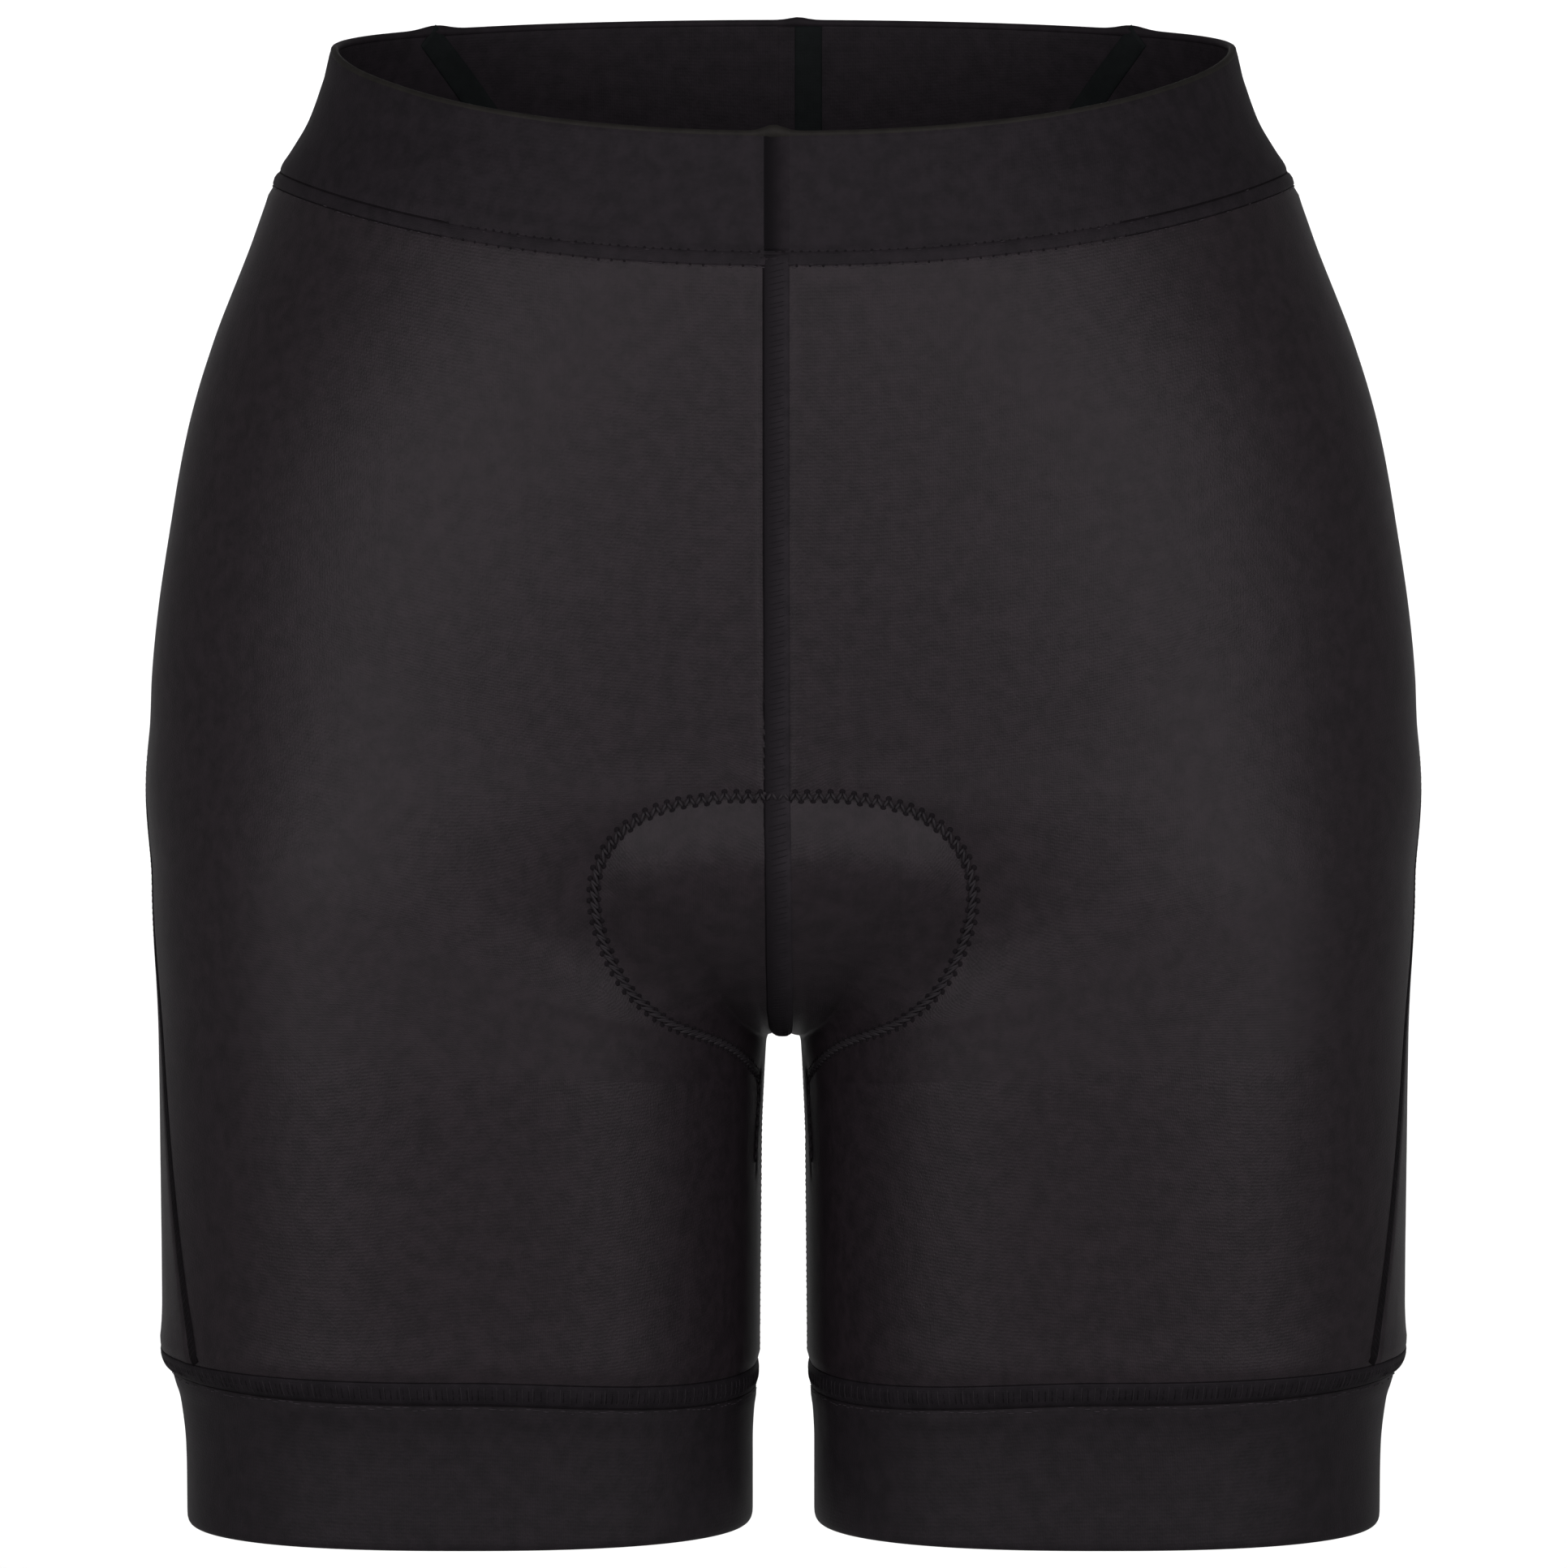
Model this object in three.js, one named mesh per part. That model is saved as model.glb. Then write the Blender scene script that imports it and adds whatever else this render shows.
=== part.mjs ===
import * as THREE from "three";

// Tight cycling shorts, filled out as if worn. Lengths are in millimetres.
// The middle of the waist opening is at the origin, z runs up, x runs to the wearer's left, the front faces minus y.

// Cloth
const PANEL_WALL = 1.3;
const BAND_WALL = 2.0;
const CUFF_WALL = 1.8;
const SEAM_HALF_GAP = 0.15;
const SLANTED_SEAM_HALF_GAP = 0.2;

// Figure under the cloth: where the body section ends and the rounded crotch starts
const HIP_Z = -195;
const CROTCH_DEPTH = 79;
const BLEND = 12;
const CROTCH_BLEND = 4;
const CROTCH_BLEND_FROM = 10;
const CROTCH_BLEND_OVER = 14;

// Edges of the waistband and the cuffs
const TOP_DIP_FRONT = 22.5;
const TOP_DIP_POWER = 1.27;
const TOP_RISE_BACK = 7.2;
const WAIST_SEAM_SIDE = -37;
const WAIST_SEAM_DIP_FRONT = 19.6;
const WAIST_SEAM_RISE_BACK = 6;
const CUFF_SEAM_Z = -366;
const CUFF_SEAM_DIP_INSIDE = 5;
const CUFF_SEAM_DIP_FRONT = 2.2;
const HEM_Z = -411.8;
const EDGE_ROUNDING = 1.0;

// Padding
const PAD_GAP = 0.3;
const PAD_RIM = 1.6;
const PAD_LOFT = 4.2;
const PAD_SLOPE = 18;
const PAD_RAISE = 3;
const PAD_RAISE_AT_CROTCH = 0.4;
const PAD_RAISE_FADE = 60;
const PAD_TOP = { front: 141.4, back: 152 };

// Mesh divisions
const ROWS_ABOVE_PAD = 9;
const ROWS_OVER_PAD = 13;
const ROWS_ON_INSEAM = 8;
const PAD_ROWS_ON_INSEAM = 3;
const INSEAM_ROW_POWER = 1.5;
const INNER_COLUMNS = [0, 0.12, 0.28, 0.5, 0.75, 1];
const OUTER_COLUMNS = 11;
const BAND_FRONT_COLUMNS = 14;
const BAND_BACK_COLUMNS = 8;
const BAND_ROWS = 3;
const CUFF_ROW_HEIGHTS = [0, 0.1, 0.24, 0.55, 1];
const FAN_START = 10;
const FAN_LENGTH = 80;
const INSEAM_FAN_LENGTH = 60;
const FAN_ANGLE = Math.PI / 4;
const WALK_STEP = 1.5;
const EDGE_STEPS = 12;
const CENTRE_LINE_DEGREES = 2;
const CENTRE_LINE_PITCH = 4;
const INSEAM_REACH = 160;
const LEAST_CUFF_TURN = 0.02;

// Half widths and depths of the body at each height; round is the superellipse exponent
const BODY = [
  { z: -195, side: 177, front: 104, back: 119, round: 2.35 },
  { z: -176, side: 176.4, front: 105, back: 120.5, round: 2.35 },
  { z: -140, side: 172, front: 106, back: 119, round: 2.3 },
  { z: -105, side: 165.7, front: 105.5, back: 113.5, round: 2.25 },
  { z: -82, side: 158.8, front: 104.5, back: 108, round: 2.2 },
  { z: -58, side: 149.4, front: 102.5, back: 102, round: 2.15 },
  { z: -36, side: 141, front: 99.5, back: 97, round: 2.1 },
  { z: -20, side: 131.9, front: 97, back: 93.5, round: 2.05 },
  { z: 0, side: 126, front: 95, back: 91, round: 2.0 },
  { z: 12, side: 124.5, front: 94, back: 90, round: 2.0 },
];

// One leg: distance of its middle from the centre plane, and half sizes about that middle
const LEG = [
  { z: -410, middle: 88, inside: 79.4, outside: 79.1, front: 85.5, back: 82.5, round: 2.45 },
  { z: -390, middle: 88, inside: 79.4, outside: 79.4, front: 86, back: 83, round: 2.45 },
  { z: -381, middle: 88, inside: 79.8, outside: 80.2, front: 86.8, back: 84, round: 2.45 },
  { z: -374, middle: 88, inside: 80.4, outside: 81.6, front: 88.2, back: 85.4, round: 2.45 },
  { z: -368, middle: 88, inside: 80.8, outside: 84.4, front: 90.2, back: 87.4, round: 2.45 },
  { z: -362, middle: 88, inside: 81.2, outside: 86.2, front: 91.6, back: 88.8, round: 2.45 },
  { z: -350, middle: 88, inside: 81.3, outside: 86, front: 92.4, back: 89.6, round: 2.45 },
  { z: -314, middle: 88, inside: 81.6, outside: 86.2, front: 95, back: 93, round: 2.45 },
  { z: -276, middle: 88, inside: 81.9, outside: 86.8, front: 97, back: 97.5, round: 2.45 },
  { z: -235, middle: 88, inside: 81.9, outside: 88, front: 97, back: 102, round: 2.45 },
  { z: -200, middle: 88, inside: 81.5, outside: 84, front: 92, back: 100, round: 2.4 },
  { z: -160, middle: 86, inside: 74, outside: 68, front: 78, back: 86, round: 2.3 },
  { z: -110, middle: 82, inside: 50, outside: 40, front: 50, back: 50, round: 2.2 },
];

// Half width of the whole outline seen from the front
const OUTLINE = [
  { z: -410, half: 167 },
  { z: -390, half: 167.3 },
  { z: -381, half: 168.2 },
  { z: -374, half: 169.6 },
  { z: -370, half: 170.8 },
  { z: -366, half: 173.4 },
  { z: -362, half: 174.3 },
  { z: -350, half: 173.9 },
  { z: -314, half: 174.2 },
  { z: -270, half: 174.8 },
  { z: -247, half: 175.9 },
  { z: -223, half: 176.8 },
  { z: -195, half: 177.4 },
  { z: -176, half: 176.4 },
  { z: -152, half: 173.9 },
  { z: -129, half: 170.3 },
  { z: -105, half: 165.7 },
  { z: -82, half: 158.8 },
  { z: -58, half: 149.4 },
  { z: -36, half: 141 },
  { z: -20, half: 131.9 },
  { z: 0, half: 126 },
  { z: 12, half: 124.5 },
];

// Axis that the cloth is measured round, in each half of the shorts
const AXIS = [
  { z: -410, x: 88 },
  { z: -200, x: 88 },
  { z: -60, x: 66 },
  { z: 12, x: 60 },
];

// Side seam: turn about the axis in degrees, from straight out, minus towards the front
const SIDE_SEAM = [
  { z: -372, turn: -39.5 },
  { z: -350, turn: -34 },
  { z: -312, turn: -27 },
  { z: -271, turn: -20 },
  { z: -235, turn: -12 },
  { z: -190, turn: 3 },
  { z: -140, turn: 24 },
  { z: -90, turn: 44 },
  { z: -34, turn: 60 },
];

// Back joint of the waistband: distance from the centre plane
const BAND_JOINT = [
  { z: -40, x: 72 },
  { z: -13, x: 90 },
  { z: 6, x: 104 },
];

// Half width of the padding over the cloth, by distance from the crotch point along the centre seam
const PAD_FRONT = [
  { from: 0, half: 27 },
  { from: 22, half: 26 },
  { from: 34, half: 26.5 },
  { from: 45, half: 28.5 },
  { from: 56, half: 32 },
  { from: 67, half: 37.5 },
  { from: 89, half: 48 },
  { from: 102, half: 52 },
  { from: 111, half: 53 },
  { from: 119, half: 52 },
  { from: 126, half: 48.8 },
  { from: 132, half: 43.8 },
  { from: 136.5, half: 37 },
  { from: 139.5, half: 28.5 },
  { from: 141.4, half: 16 },
  { from: 165, half: 34 },
  { from: 200, half: 42 },
];
const PAD_BACK = [
  { from: 0, half: 27 },
  { from: 22, half: 26 },
  { from: 34, half: 27 },
  { from: 45, half: 27.5 },
  { from: 56, half: 30.5 },
  { from: 70, half: 37 },
  { from: 95, half: 52.5 },
  { from: 115, half: 61 },
  { from: 132, half: 57 },
  { from: 152, half: 38 },
];

// Smooth curve through one column of a table whose first column rises
function curve(rows, by, column) {
  const at = rows.map((row) => row[by]);
  const values = rows.map((row) => row[column]);
  const last = rows.length - 1;
  const rise = (i) => (values[i + 1] - values[i]) / (at[i + 1] - at[i]);
  const slopes = values.map((value, i) => {
    if (i === 0) return rise(0);
    if (i === last) return rise(last - 1);
    const before = rise(i - 1);
    const after = rise(i);
    if (before * after <= 0) return 0;
    const limit = 3 * Math.min(Math.abs(before), Math.abs(after));
    return Math.sign(before) * Math.min(Math.abs(before + after) / 2, limit);
  });
  return (x) => {
    if (x <= at[0]) return values[0];
    if (x >= at[last]) return values[last];
    let i = 0;
    while (x > at[i + 1]) i += 1;
    const step = at[i + 1] - at[i];
    const t = (x - at[i]) / step;
    const t2 = t * t;
    const t3 = t2 * t;
    return (
      values[i] * (2 * t3 - 3 * t2 + 1) +
      slopes[i] * step * (t3 - 2 * t2 + t) +
      values[i + 1] * (3 * t2 - 2 * t3) +
      slopes[i + 1] * step * (t3 - t2)
    );
  };
}

const columnCurves = (rows, by, columns) =>
  Object.fromEntries(columns.map((column) => [column, curve(rows, by, column)]));

const body = columnCurves(BODY, "z", ["side", "front", "back", "round"]);
const leg = columnCurves(LEG, "z", ["middle", "inside", "outside", "front", "back", "round"]);
const axisX = curve(AXIS, "z", "x");
const sideSeamTurn = curve(SIDE_SEAM, "z", "turn");
const bandJointX = curve(BAND_JOINT, "z", "x");
const padHalf = { front: curve(PAD_FRONT, "from", "half"), back: curve(PAD_BACK, "from", "half") };

const ease = (t) => {
  const held = Math.min(1, Math.max(0, t));
  return held * held * (3 - 2 * held);
};
const mix = (a, b, t) => a + (b - a) * t;

// Lowest of two distances, rounded over a width where they meet
function soften(a, b, width) {
  const overlap = Math.max(width - Math.abs(a - b), 0) / width;
  return Math.min(a, b) - (overlap * overlap * width) / 4;
}

// Distance out of a superellipse, measured along the line from its middle
function outOf(offsets, halves, round) {
  const sum = offsets.reduce((total, offset, i) => total + (Math.abs(offset) / halves[i]) ** round, 0);
  const length = Math.hypot(...offsets);
  return sum === 0 ? -Math.min(...halves) : length * (1 - sum ** (-1 / round));
}

function outOfBody(x, y, z) {
  const level = Math.max(z, HIP_Z);
  const depth = y < 0 ? body.front(level) : body.back(level);
  const below = Math.min(z - HIP_Z, 0);
  return outOf([x, y, below], [body.side(level), depth, CROTCH_DEPTH], body.round(level));
}

function outOfLeg(x, y, z) {
  const across = x - leg.middle(z);
  const half = across < 0 ? leg.inside(z) : leg.outside(z);
  const depth = y < 0 ? leg.front(z) : leg.back(z);
  return outOf([across, y], [half, depth], leg.round(z));
}

// Body and legs, with a tighter corner between them close to the crotch
function outOfFigure(x, y, z) {
  const legs = Math.min(outOfLeg(x, y, z), outOfLeg(-x, y, z));
  const width = mix(CROTCH_BLEND, BLEND, ease((Math.abs(x) - CROTCH_BLEND_FROM) / CROTCH_BLEND_OVER));
  return soften(outOfBody(x, y, z), legs, width);
}

// Distance along a line at which a function turns from minus to plus
function crossing(value, from, to) {
  let low = from;
  let high = to;
  for (let step = 0; step < 40; step += 1) {
    const middle = (low + high) / 2;
    if (value(middle) < 0) low = middle;
    else high = middle;
  }
  return (low + high) / 2;
}

// The blended figure is stretched a little sideways so that its outline has the measured half widths
const FAR = 260;
const OUTLINE_SCAN = 60;
const stretch = curve(
  OUTLINE.map(({ z, half }) => {
    let widest = 0;
    for (let y = -OUTLINE_SCAN; y <= OUTLINE_SCAN; y += 4)
      widest = Math.max(widest, crossing((x) => outOfFigure(x, y, z), axisX(z), FAR));
    return { z, ratio: half / widest };
  }),
  "z",
  "ratio",
);

const outOfCloth = (x, y, z) => outOfFigure(x / stretch(z), y, z);

const PROBE = 0.05;
function slopeAt(p) {
  const difference = (dx, dy, dz) =>
    (outOfCloth(p.x + dx, p.y + dy, p.z + dz) - outOfCloth(p.x - dx, p.y - dy, p.z - dz)) / (2 * PROBE);
  return new THREE.Vector3(difference(PROBE, 0, 0), difference(0, PROBE, 0), difference(0, 0, PROBE));
}
const outward = (p) => slopeAt(p).normalize();

function ontoCloth(p) {
  for (let step = 0; step < 4; step += 1) {
    const slope = slopeAt(p);
    p.addScaledVector(slope, -outOfCloth(p.x, p.y, p.z) / slope.lengthSq());
  }
  return p;
}

// Point of the cloth at a height and a turn about the axis, in radians from straight out
function around(z, turn) {
  const middle = axisX(z);
  const toCentre = Math.cos(turn) < 0 ? middle / -Math.cos(turn) : FAR;
  const farthest = Math.min(FAR, toCentre);
  const reach = crossing((r) => outOfCloth(middle + r * Math.cos(turn), r * Math.sin(turn), z), 0, farthest);
  return new THREE.Vector3(middle + reach * Math.cos(turn), reach * Math.sin(turn), z);
}
const turnOf = (p) => Math.atan2(p.y, p.x - axisX(p.z));

// Points passed when going over the cloth from a point in a direction
function walk(start, direction, distances) {
  const p = start.clone();
  const heading = direction.clone();
  const passed = [];
  let gone = 0;
  for (const distance of distances) {
    const steps = Math.max(1, Math.ceil((distance - gone) / WALK_STEP));
    const length = (distance - gone) / steps;
    for (let step = 0; step < steps && length > 0; step += 1) {
      heading.projectOnPlane(outward(p)).normalize();
      p.addScaledVector(heading, length);
      ontoCloth(p);
    }
    gone = distance;
    passed.push(p.clone());
  }
  return passed;
}

// Heights of the edges, by how far forward or back a point is
const forwardShare = (y, z) => (y < 0 ? y / body.front(z) : y / body.back(z));
const waistTop = ({ y }) => {
  const share = forwardShare(y, 0);
  return share < 0 ? -TOP_DIP_FRONT * (-share) ** TOP_DIP_POWER : TOP_RISE_BACK * share;
};
const waistSeam = ({ y }) => {
  const share = forwardShare(y, WAIST_SEAM_SIDE);
  return WAIST_SEAM_SIDE + share * share * (share < 0 ? -WAIST_SEAM_DIP_FRONT : WAIST_SEAM_RISE_BACK);
};
const cuffSeam = ({ x, y }) => {
  const inward = ease(1 - x / leg.middle(CUFF_SEAM_Z));
  const forward = Math.min(0, y) / leg.front(CUFF_SEAM_Z);
  return CUFF_SEAM_Z - CUFF_SEAM_DIP_INSIDE * inward - CUFF_SEAM_DIP_FRONT * forward * forward;
};

// Point where an edge passes a turn about the axis, moved up or down by a gap
function onEdge(height, turn, shift) {
  let p = around(0, turn);
  for (let step = 0; step < EDGE_STEPS; step += 1) p = around(height(p), turn);
  return around(p.z + shift, turn);
}

// Point of the centre line at a height, on the front (side -1) or the back (side 1)
function onCentre(side, z) {
  return new THREE.Vector3(0, side * crossing((reach) => outOfCloth(0, side * reach, z), 0, FAR), z);
}

// Line of points with the length gone along it
function measured(points) {
  const gone = [0];
  for (let i = 1; i < points.length; i += 1) gone.push(gone[i - 1] + points[i].distanceTo(points[i - 1]));
  return {
    length: gone.at(-1),
    at(distance) {
      let i = 0;
      while (i < gone.length - 2 && distance > gone[i + 1]) i += 1;
      return ontoCloth(points[i].clone().lerp(points[i + 1], (distance - gone[i]) / (gone[i + 1] - gone[i])));
    },
  };
}

// Centre line of the front (side -1) or the back (side 1), from the crotch point up to the waist seam
function centreLine(side) {
  const points = [];
  for (let degrees = 0; degrees < 90; degrees += CENTRE_LINE_DEGREES) {
    const turn = THREE.MathUtils.degToRad(degrees);
    const reach = crossing((r) => outOfCloth(0, side * r * Math.sin(turn), HIP_Z - r * Math.cos(turn)), 0, FAR);
    points.push(new THREE.Vector3(0, side * reach * Math.sin(turn), HIP_Z - reach * Math.cos(turn)));
  }
  const top = waistSeam({ y: side < 0 ? -body.front(WAIST_SEAM_SIDE) : body.back(WAIST_SEAM_SIDE) });
  for (let z = HIP_Z; z < top; z += CENTRE_LINE_PITCH) points.push(onCentre(side, z));
  points.push(onCentre(side, top));
  return measured(points);
}

const crotchPoint = ontoCloth(new THREE.Vector3(0, 0, HIP_Z - CROTCH_DEPTH));

// Inside leg line from the crotch point down to the cuff seam
const inseam = (() => {
  const distances = Array.from({ length: INSEAM_REACH }, (_, i) => i);
  const passed = walk(crotchPoint, new THREE.Vector3(1, 0, 0), distances);
  const lowest = cuffSeam({ x: 0, y: 0 });
  const end = passed.findIndex((p) => p.z < lowest);
  const points = passed.slice(0, end);
  points.push(around(lowest, Math.PI));
  return measured(points);
})();

// Tilt of the rows near the crotch point, where they spread from the corner of the panel
const centreFan = (distance) => FAN_ANGLE * (1 - ease((distance - FAN_START) / FAN_LENGTH));
const inseamFan = (distance) => FAN_ANGLE * Math.max(0, 1 - distance / INSEAM_FAN_LENGTH);

// Grid of points on the cloth for a half of the front or the back: rows from the waist seam to the cuff seam,
// columns from the centre and inside leg seams, past the edge of the padding, to the side seam.
function panelGrid(side, name) {
  const centre = centreLine(side);
  const forward = new THREE.Vector3(0, side, 0);
  const lastRow = ROWS_ABOVE_PAD + ROWS_OVER_PAD + ROWS_ON_INSEAM;
  const seamTurnGap = (p) => (side * SLANTED_SEAM_HALF_GAP) / Math.hypot(p.x - axisX(p.z), p.y);
  const rows = [];
  for (let i = 0; i <= lastRow; i += 1) {
    let start;
    let across;
    let along;
    let padEdge;
    let fromTop = 0;
    let raised = PAD_RAISE_AT_CROTCH;
    if (i <= ROWS_ABOVE_PAD + ROWS_OVER_PAD) {
      const overPad = i - ROWS_ABOVE_PAD;
      const from =
        overPad <= 0
          ? mix(centre.length, PAD_TOP[name], i / ROWS_ABOVE_PAD)
          : PAD_TOP[name] * (1 - overPad / ROWS_OVER_PAD);
      start = centre.at(from);
      start.x = 0;
      across = new THREE.Vector3(1, 0, 0);
      along = new THREE.Vector3().crossVectors(across, outward(start)).normalize();
      if (along.dot(new THREE.Vector3(0, side, 1)) < 0) along.negate();
      if (from === 0) along.copy(forward);
      padEdge = padHalf[name](from);
      fromTop = Math.max(0, PAD_TOP[name] - from);
      raised = mix(PAD_RAISE_AT_CROTCH, 1, ease(from / PAD_RAISE_FADE));
      const tilt = centreFan(from);
      across.multiplyScalar(Math.cos(tilt)).addScaledVector(along, Math.sin(tilt));
    } else {
      const share = (i - ROWS_ABOVE_PAD - ROWS_OVER_PAD) / ROWS_ON_INSEAM;
      const from = inseam.length * share ** INSEAM_ROW_POWER;
      start = inseam.at(from);
      start.y = 0;
      along = new THREE.Vector3().crossVectors(forward, outward(start)).normalize();
      if (along.z > 0) along.negate();
      padEdge = padHalf[name](0);
      fromTop = i < ROWS_ABOVE_PAD + ROWS_OVER_PAD + PAD_ROWS_ON_INSEAM ? PAD_SLOPE / 2 : 0;
      const tilt = inseamFan(from);
      across = forward.clone().multiplyScalar(Math.cos(tilt)).addScaledVector(along, Math.sin(tilt));
    }
    const row = walk(start, across, INNER_COLUMNS.map((share) => share * padEdge));
    const edge = row.at(-1);
    const down = i / lastRow;
    const seam = sideSeamPoint(down);
    const edgeTurn = turnOf(edge);
    const seamTurn = turnOf(seam) + seamTurnGap(seam);
    for (let j = 1; j <= OUTER_COLUMNS; j += 1) {
      const share = j / OUTER_COLUMNS;
      row.push(around(mix(edge.z, seam.z, ease(share) * 0.5 + share * 0.5), mix(edgeTurn, seamTurn, share)));
    }
    if (i === 0) {
      row.forEach((p, j) => {
        p.copy(j === 0 ? onCentre(side, waistSeam(p) - SEAM_HALF_GAP) : onEdge(waistSeam, turnOf(p), -SEAM_HALF_GAP));
      });
    }
    if (i === lastRow) row.forEach((p) => p.copy(onEdge(cuffSeam, turnOf(p), SEAM_HALF_GAP)));
    const loft = row.map((p, j) => {
      if (j >= INNER_COLUMNS.length) return 0;
      const inside = padEdge * (1 - INNER_COLUMNS[j]);
      return ease(Math.min(inside, fromTop) / PAD_SLOPE);
    });
    const raise = loft.map((share) => PAD_RAISE * raised * share);
    rows.push({ points: row, loft, raise, onInseam: i > ROWS_ABOVE_PAD + ROWS_OVER_PAD });
  }
  return rows;
}

const onSideSeam = (z) => around(z, THREE.MathUtils.degToRad(sideSeamTurn(z)));

// Middle of the side seam at a share of the way down, before its gap
function sideSeamPoint(down) {
  let top = onSideSeam(WAIST_SEAM_SIDE);
  for (let step = 0; step < EDGE_STEPS; step += 1) top = onSideSeam(waistSeam(top));
  return onSideSeam(mix(top.z, CUFF_SEAM_Z, down));
}

// A piece of cloth from loops of points: each loop goes down the outside, round any foot, up the inside, round any crest
function cloth(sections, closed) {
  const points = [];
  const faces = [];
  const loops = sections.map(({ outer, inner, crest, foot }) => {
    const loop = [...outer, ...(foot ? [foot] : []), ...[...inner].reverse(), ...(crest ? [crest] : [])];
    return loop.map((p) => points.push(p) - 1);
  });
  const quad = (a, b, c, d) => faces.push([a, b, c], [a, c, d]);
  const count = loops[0].length;
  const joins = closed ? loops.length : loops.length - 1;
  for (let i = 0; i < joins; i += 1) {
    const here = loops[i];
    const next = loops[(i + 1) % loops.length];
    for (let k = 0; k < count; k += 1) quad(here[k], here[(k + 1) % count], next[(k + 1) % count], next[k]);
  }
  if (!closed) {
    capLoop(loops[0], sections[0], false, faces);
    capLoop(loops.at(-1), sections.at(-1), true, faces);
  }
  return { points, faces };
}

function capLoop(loop, section, turned, faces) {
  const rows = section.outer.length;
  const footCount = section.foot ? 1 : 0;
  const outer = (k) => loop[k];
  const inner = (k) => loop[rows + footCount + (rows - 1 - k)];
  const add = (a, b, c) => faces.push(turned ? [a, b, c] : [c, b, a]);
  for (let k = 0; k < rows - 1; k += 1) {
    add(outer(k), outer(k + 1), inner(k + 1));
    add(outer(k), inner(k + 1), inner(k));
  }
  if (section.foot) add(outer(rows - 1), loop[rows], inner(rows - 1));
  if (section.crest) add(outer(0), inner(0), loop[loop.length - 1]);
}

function volumeOf({ points, faces }) {
  const normal = new THREE.Vector3();
  return faces.reduce(
    (total, [a, b, c]) => total + normal.crossVectors(points[b], points[c]).dot(points[a]) / 6,
    0,
  );
}

const turnedRound = ({ points, faces }) => ({ points, faces: faces.map(([a, b, c]) => [c, b, a]) });
const facingOut = (solid) => (volumeOf(solid) < 0 ? turnedRound(solid) : solid);
const mirrored = ({ points, faces }) =>
  turnedRound({ points: points.map((p) => new THREE.Vector3(-p.x, p.y, p.z)), faces });

const inFrom = (p, depth) => p.clone().addScaledVector(outward(p), -depth);

// Half gaps of the centre and inside leg seams, taken off the first column
function openSeam(p, side, onInseam, atCrotch) {
  const q = p.clone();
  if (!onInseam || atCrotch) q.x = SEAM_HALF_GAP;
  if (onInseam || atCrotch) q.y = side * SEAM_HALF_GAP;
  return q;
}

function panel(grid, side) {
  const crotchRow = ROWS_ABOVE_PAD + ROWS_OVER_PAD;
  const columns = grid[0].points.length;
  const sections = [];
  for (let j = 0; j < columns; j += 1) {
    const outer = [];
    const inner = [];
    grid.forEach((row, i) => {
      const p = row.points[j];
      const open = (q) => (j === 0 ? openSeam(q, side, row.onInseam, i === crotchRow) : q);
      outer.push(open(inFrom(p, -row.raise[j])));
      inner.push(open(inFrom(p, PANEL_WALL)));
    });
    sections.push({ outer, inner });
  }
  return facingOut(cloth(sections, false));
}

// Padding under all four panels: their own points moved in, joined at the seams
function padding(front, back) {
  const firstRow = ROWS_ABOVE_PAD;
  const lastRow = ROWS_ABOVE_PAD + ROWS_OVER_PAD + PAD_ROWS_ON_INSEAM;
  const lastColumn = INNER_COLUMNS.length - 1;
  const points = [];
  const faces = [];
  const known = new Map();
  const index = (p) => {
    const key = [p.x, p.y, p.z].map((value) => Math.round(value * 1e4) + 0).join();
    if (!known.has(key)) known.set(key, points.push(p) - 1);
    return known.get(key);
  };
  for (const [grid, facing] of [
    [front, 1],
    [back, -1],
  ]) {
    for (const hand of [1, -1]) {
      const place = (i, j, deep) => {
        const row = grid[i];
        const depth = PANEL_WALL + PAD_GAP + (deep ? PAD_RIM + PAD_LOFT * row.loft[j] : 0);
        const p = inFrom(row.points[j], depth);
        return index(new THREE.Vector3(j === 0 && !row.onInseam ? 0 : hand * p.x, j === 0 && row.onInseam ? 0 : p.y, p.z));
      };
      const flip = facing * hand < 0;
      const add = (a, b, c) => faces.push(flip ? [c, b, a] : [a, b, c]);
      for (let i = firstRow; i < lastRow; i += 1) {
        for (let j = 0; j < lastColumn; j += 1) {
          for (const deep of [false, true]) {
            const a = place(i + 1, j, deep);
            const b = place(i + 1, j + 1, deep);
            const c = place(i, j + 1, deep);
            const d = place(i, j, deep);
            if (deep) {
              add(c, b, a);
              add(d, c, a);
            } else {
              add(a, b, c);
              add(a, c, d);
            }
          }
        }
        const rim = [place(i, lastColumn, false), place(i + 1, lastColumn, false)];
        const rimDeep = [place(i, lastColumn, true), place(i + 1, lastColumn, true)];
        add(rim[0], rim[1], rimDeep[1]);
        add(rim[0], rimDeep[1], rimDeep[0]);
      }
      for (const i of [firstRow, lastRow]) {
        for (let j = 0; j < lastColumn; j += 1) {
          const edge = [place(i, j, false), place(i, j + 1, false), place(i, j + 1, true), place(i, j, true)];
          if (i === lastRow) edge.reverse();
          add(edge[0], edge[1], edge[2]);
          add(edge[0], edge[2], edge[3]);
        }
      }
    }
  }
  return facingOut({ points, faces });
}

// Turn about the axis of the waistband's back joint at a height
function jointTurn(z) {
  const x = bandJointX(z);
  const y = crossing((reach) => outOfCloth(x, reach, z), 0, FAR);
  return turnOf(new THREE.Vector3(x, y, z));
}

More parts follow.
